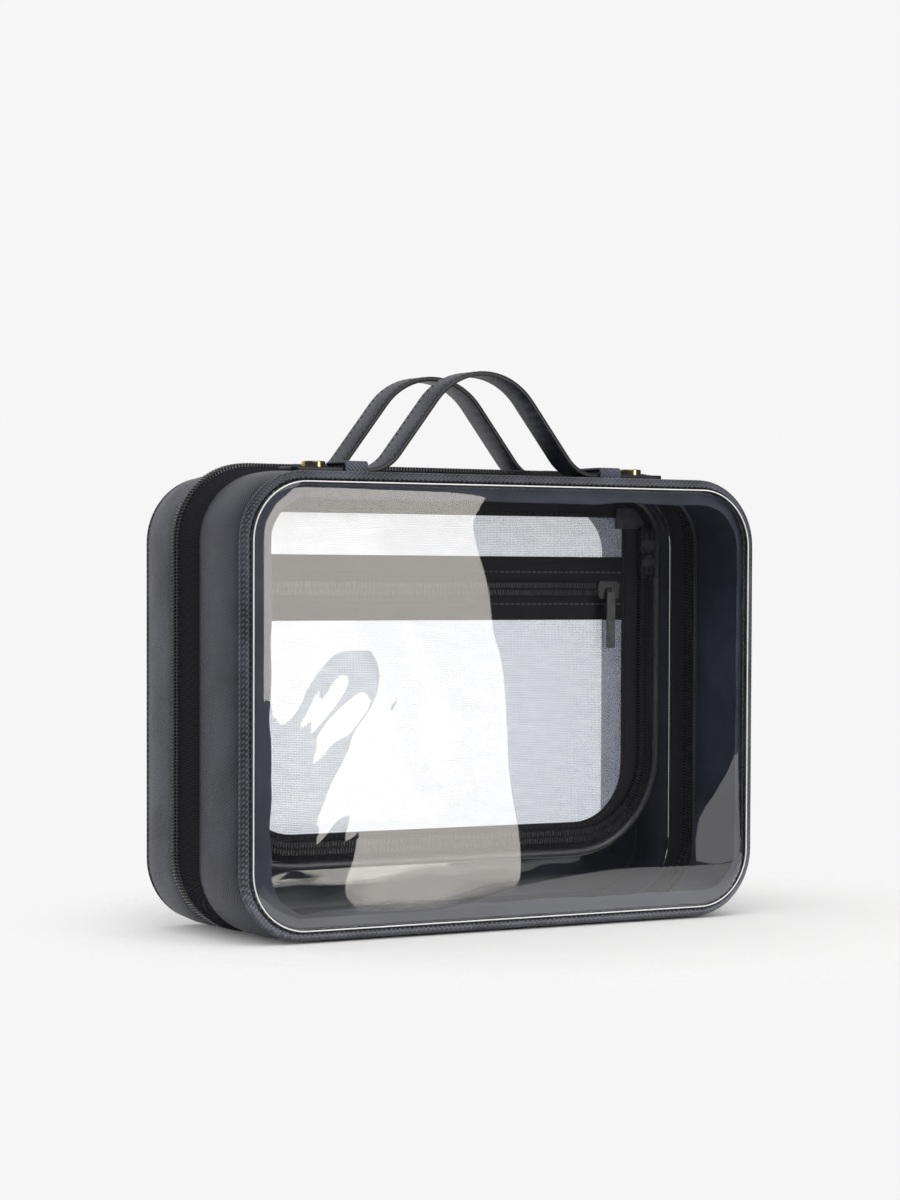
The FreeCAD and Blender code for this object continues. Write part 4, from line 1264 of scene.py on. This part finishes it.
def keeper_loop(side, depth):
    """A loop of leather over one end of a strap, open underneath."""
    bpy.ops.mesh.primitive_cube_add(size=1, location=(side * KEEPER_PLACE, depth, KEEPER_LEVEL))
    loop = bpy.context.object
    loop.scale = KEEPER_SIZE
    settle(loop)
    start_work(loop)
    pick(loop, "FACE", lambda face: abs(face.normal.x) > 0.9 or face.normal.z < -0.9)
    bpy.ops.mesh.delete(type="FACE")
    pick(
        loop, "EDGE",
        lambda e: middle(e).z > KEEPER_LEVEL + 0.001 and abs(middle(e).x - side * KEEPER_PLACE) < 1e-5,
    )
    bpy.ops.mesh.bevel(offset=KEEPER_ROUND, affect="EDGES", segments=5, profile=0.5)
    end_work()
    apply_modifier(loop, "SOLIDIFY", thickness=KEEPER_LEATHER, offset=-1, use_even_offset=True)
    round_edges(loop, KEEPER_EDGE, 60)
    return loop


strap_leather = grain_leather("strap_leather", LEATHER_RIDGE, (1, -1, 1))
painted_edge = speckled("painted_edge", 700.0, 2.0, PAINT_DARK, PAINT_PALE, 0.35, 0.0001)
navy_thread = thread_finish("navy_thread", (0.012, 0.014, 0.030))
keeper_leather = grain_leather("keeper_leather", KEEPER_RIDGE, (1, -1, 1), KEEPER_GRAIN, KEEPER_PITCH)
for tray, handle, depth in (("front_tray", "front_handle", -0.020), ("rear_tray", "rear_handle", 0.031)):
    strap = flat_sheet(handle + "_leather", (-STRAP_TIP + 0.0005, depth, STRAP_FLAT), 0.001, STRAP_WIDTH)
    start_work(strap)
    pick(strap, "VERT", lambda c: c.co.x > -STRAP_TIP + 0.0005)
    bpy.ops.transform.translate(value=(-0.001, 0, 0))
    pick(strap, "VERT", lambda c: True)
    bpy.ops.mesh.remove_doubles(threshold=0.0001)
    pick(strap, "EDGE", lambda e: True)
    run_of_strap()
    for tip in (-STRAP_TIP, STRAP_TIP):
        pick(strap, "VERT", lambda c: abs(c.co.x - tip) < 1e-4)
        bpy.ops.mesh.bevel(offset=TIP_ROUND, affect="VERTICES", segments=6, profile=0.5)
    face_up(strap)
    end_work()
    strap.data.materials.append(strap_leather)
    strap.data.materials.append(painted_edge)
    apply_modifier(
        strap, "SOLIDIFY", thickness=STRAP_THICK, offset=0, use_even_offset=True, material_offset_rim=1,
    )
    round_edges(strap, STRAP_EDGE, 60)
    smooth(strap)
    for side in (-1, 1):
        sew(strap, strap_line(depth + side * ROW_SIDE, ROW_END), ROW_LIFT, navy_thread, ROW_PITCH)
    fit(strap, None, "leather", handle + "_strap", handle + "_ends")
    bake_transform(strap)

    loops = join(keeper_loop(-1, depth), keeper_loop(1, depth))
    loops.name = handle + "_keeper_loops"
    loops.data.materials.append(keeper_leather)
    smooth(loops)
    fit(loops, tray, "saffiano", handle + "_keepers")


# The studs. Turned heads of polished, gold-coloured metal with faint turning marks
# hold the ends of the straps.
GOLD_DARK = (0.60, 0.46, 0.26)
GOLD_PALE = (0.78, 0.62, 0.38)


def refinish(node, finish):
    """Gives a part of the model that keeps its own shape a new finish."""
    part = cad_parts[node]
    part.data.materials.clear()
    part.data.materials.append(finish)


gold = speckled("polished_gold", 900.0, 3.0, GOLD_DARK, GOLD_PALE, (0.16, 0.28), metal=1.0)
refinish("front_handle_studs", gold)
refinish("rear_handle_studs", gold)


# The sliders and pulls. Cast sliders in black baked paint, rubbed a little paler in
# patches, run on the coils; the pulls are small tags that turn on their crowns.
SLIDER_DARK = (0.010, 0.010, 0.012)
SLIDER_PALE = (0.026, 0.026, 0.031)
PULL_DARK = (0.030, 0.031, 0.037)
PULL_PALE = (0.060, 0.062, 0.072)
slider_paint = speckled(
    "slider_paint", 340.0, 4.0, SLIDER_DARK, SLIDER_PALE, (0.22, 0.40), low=0.35, high=0.75,
)
pull_paint = speckled("pull_paint", 340.0, 4.0, PULL_DARK, PULL_PALE, (0.34, 0.50), low=0.35, high=0.75)
for name in ("divider_upper", "divider_lower", "main_upper", "main_lower", "pocket"):
    refinish(name + "_slider", slider_paint)
    refinish(name + "_pull", pull_paint)
refinish("flap_end_tabs", pull_paint)
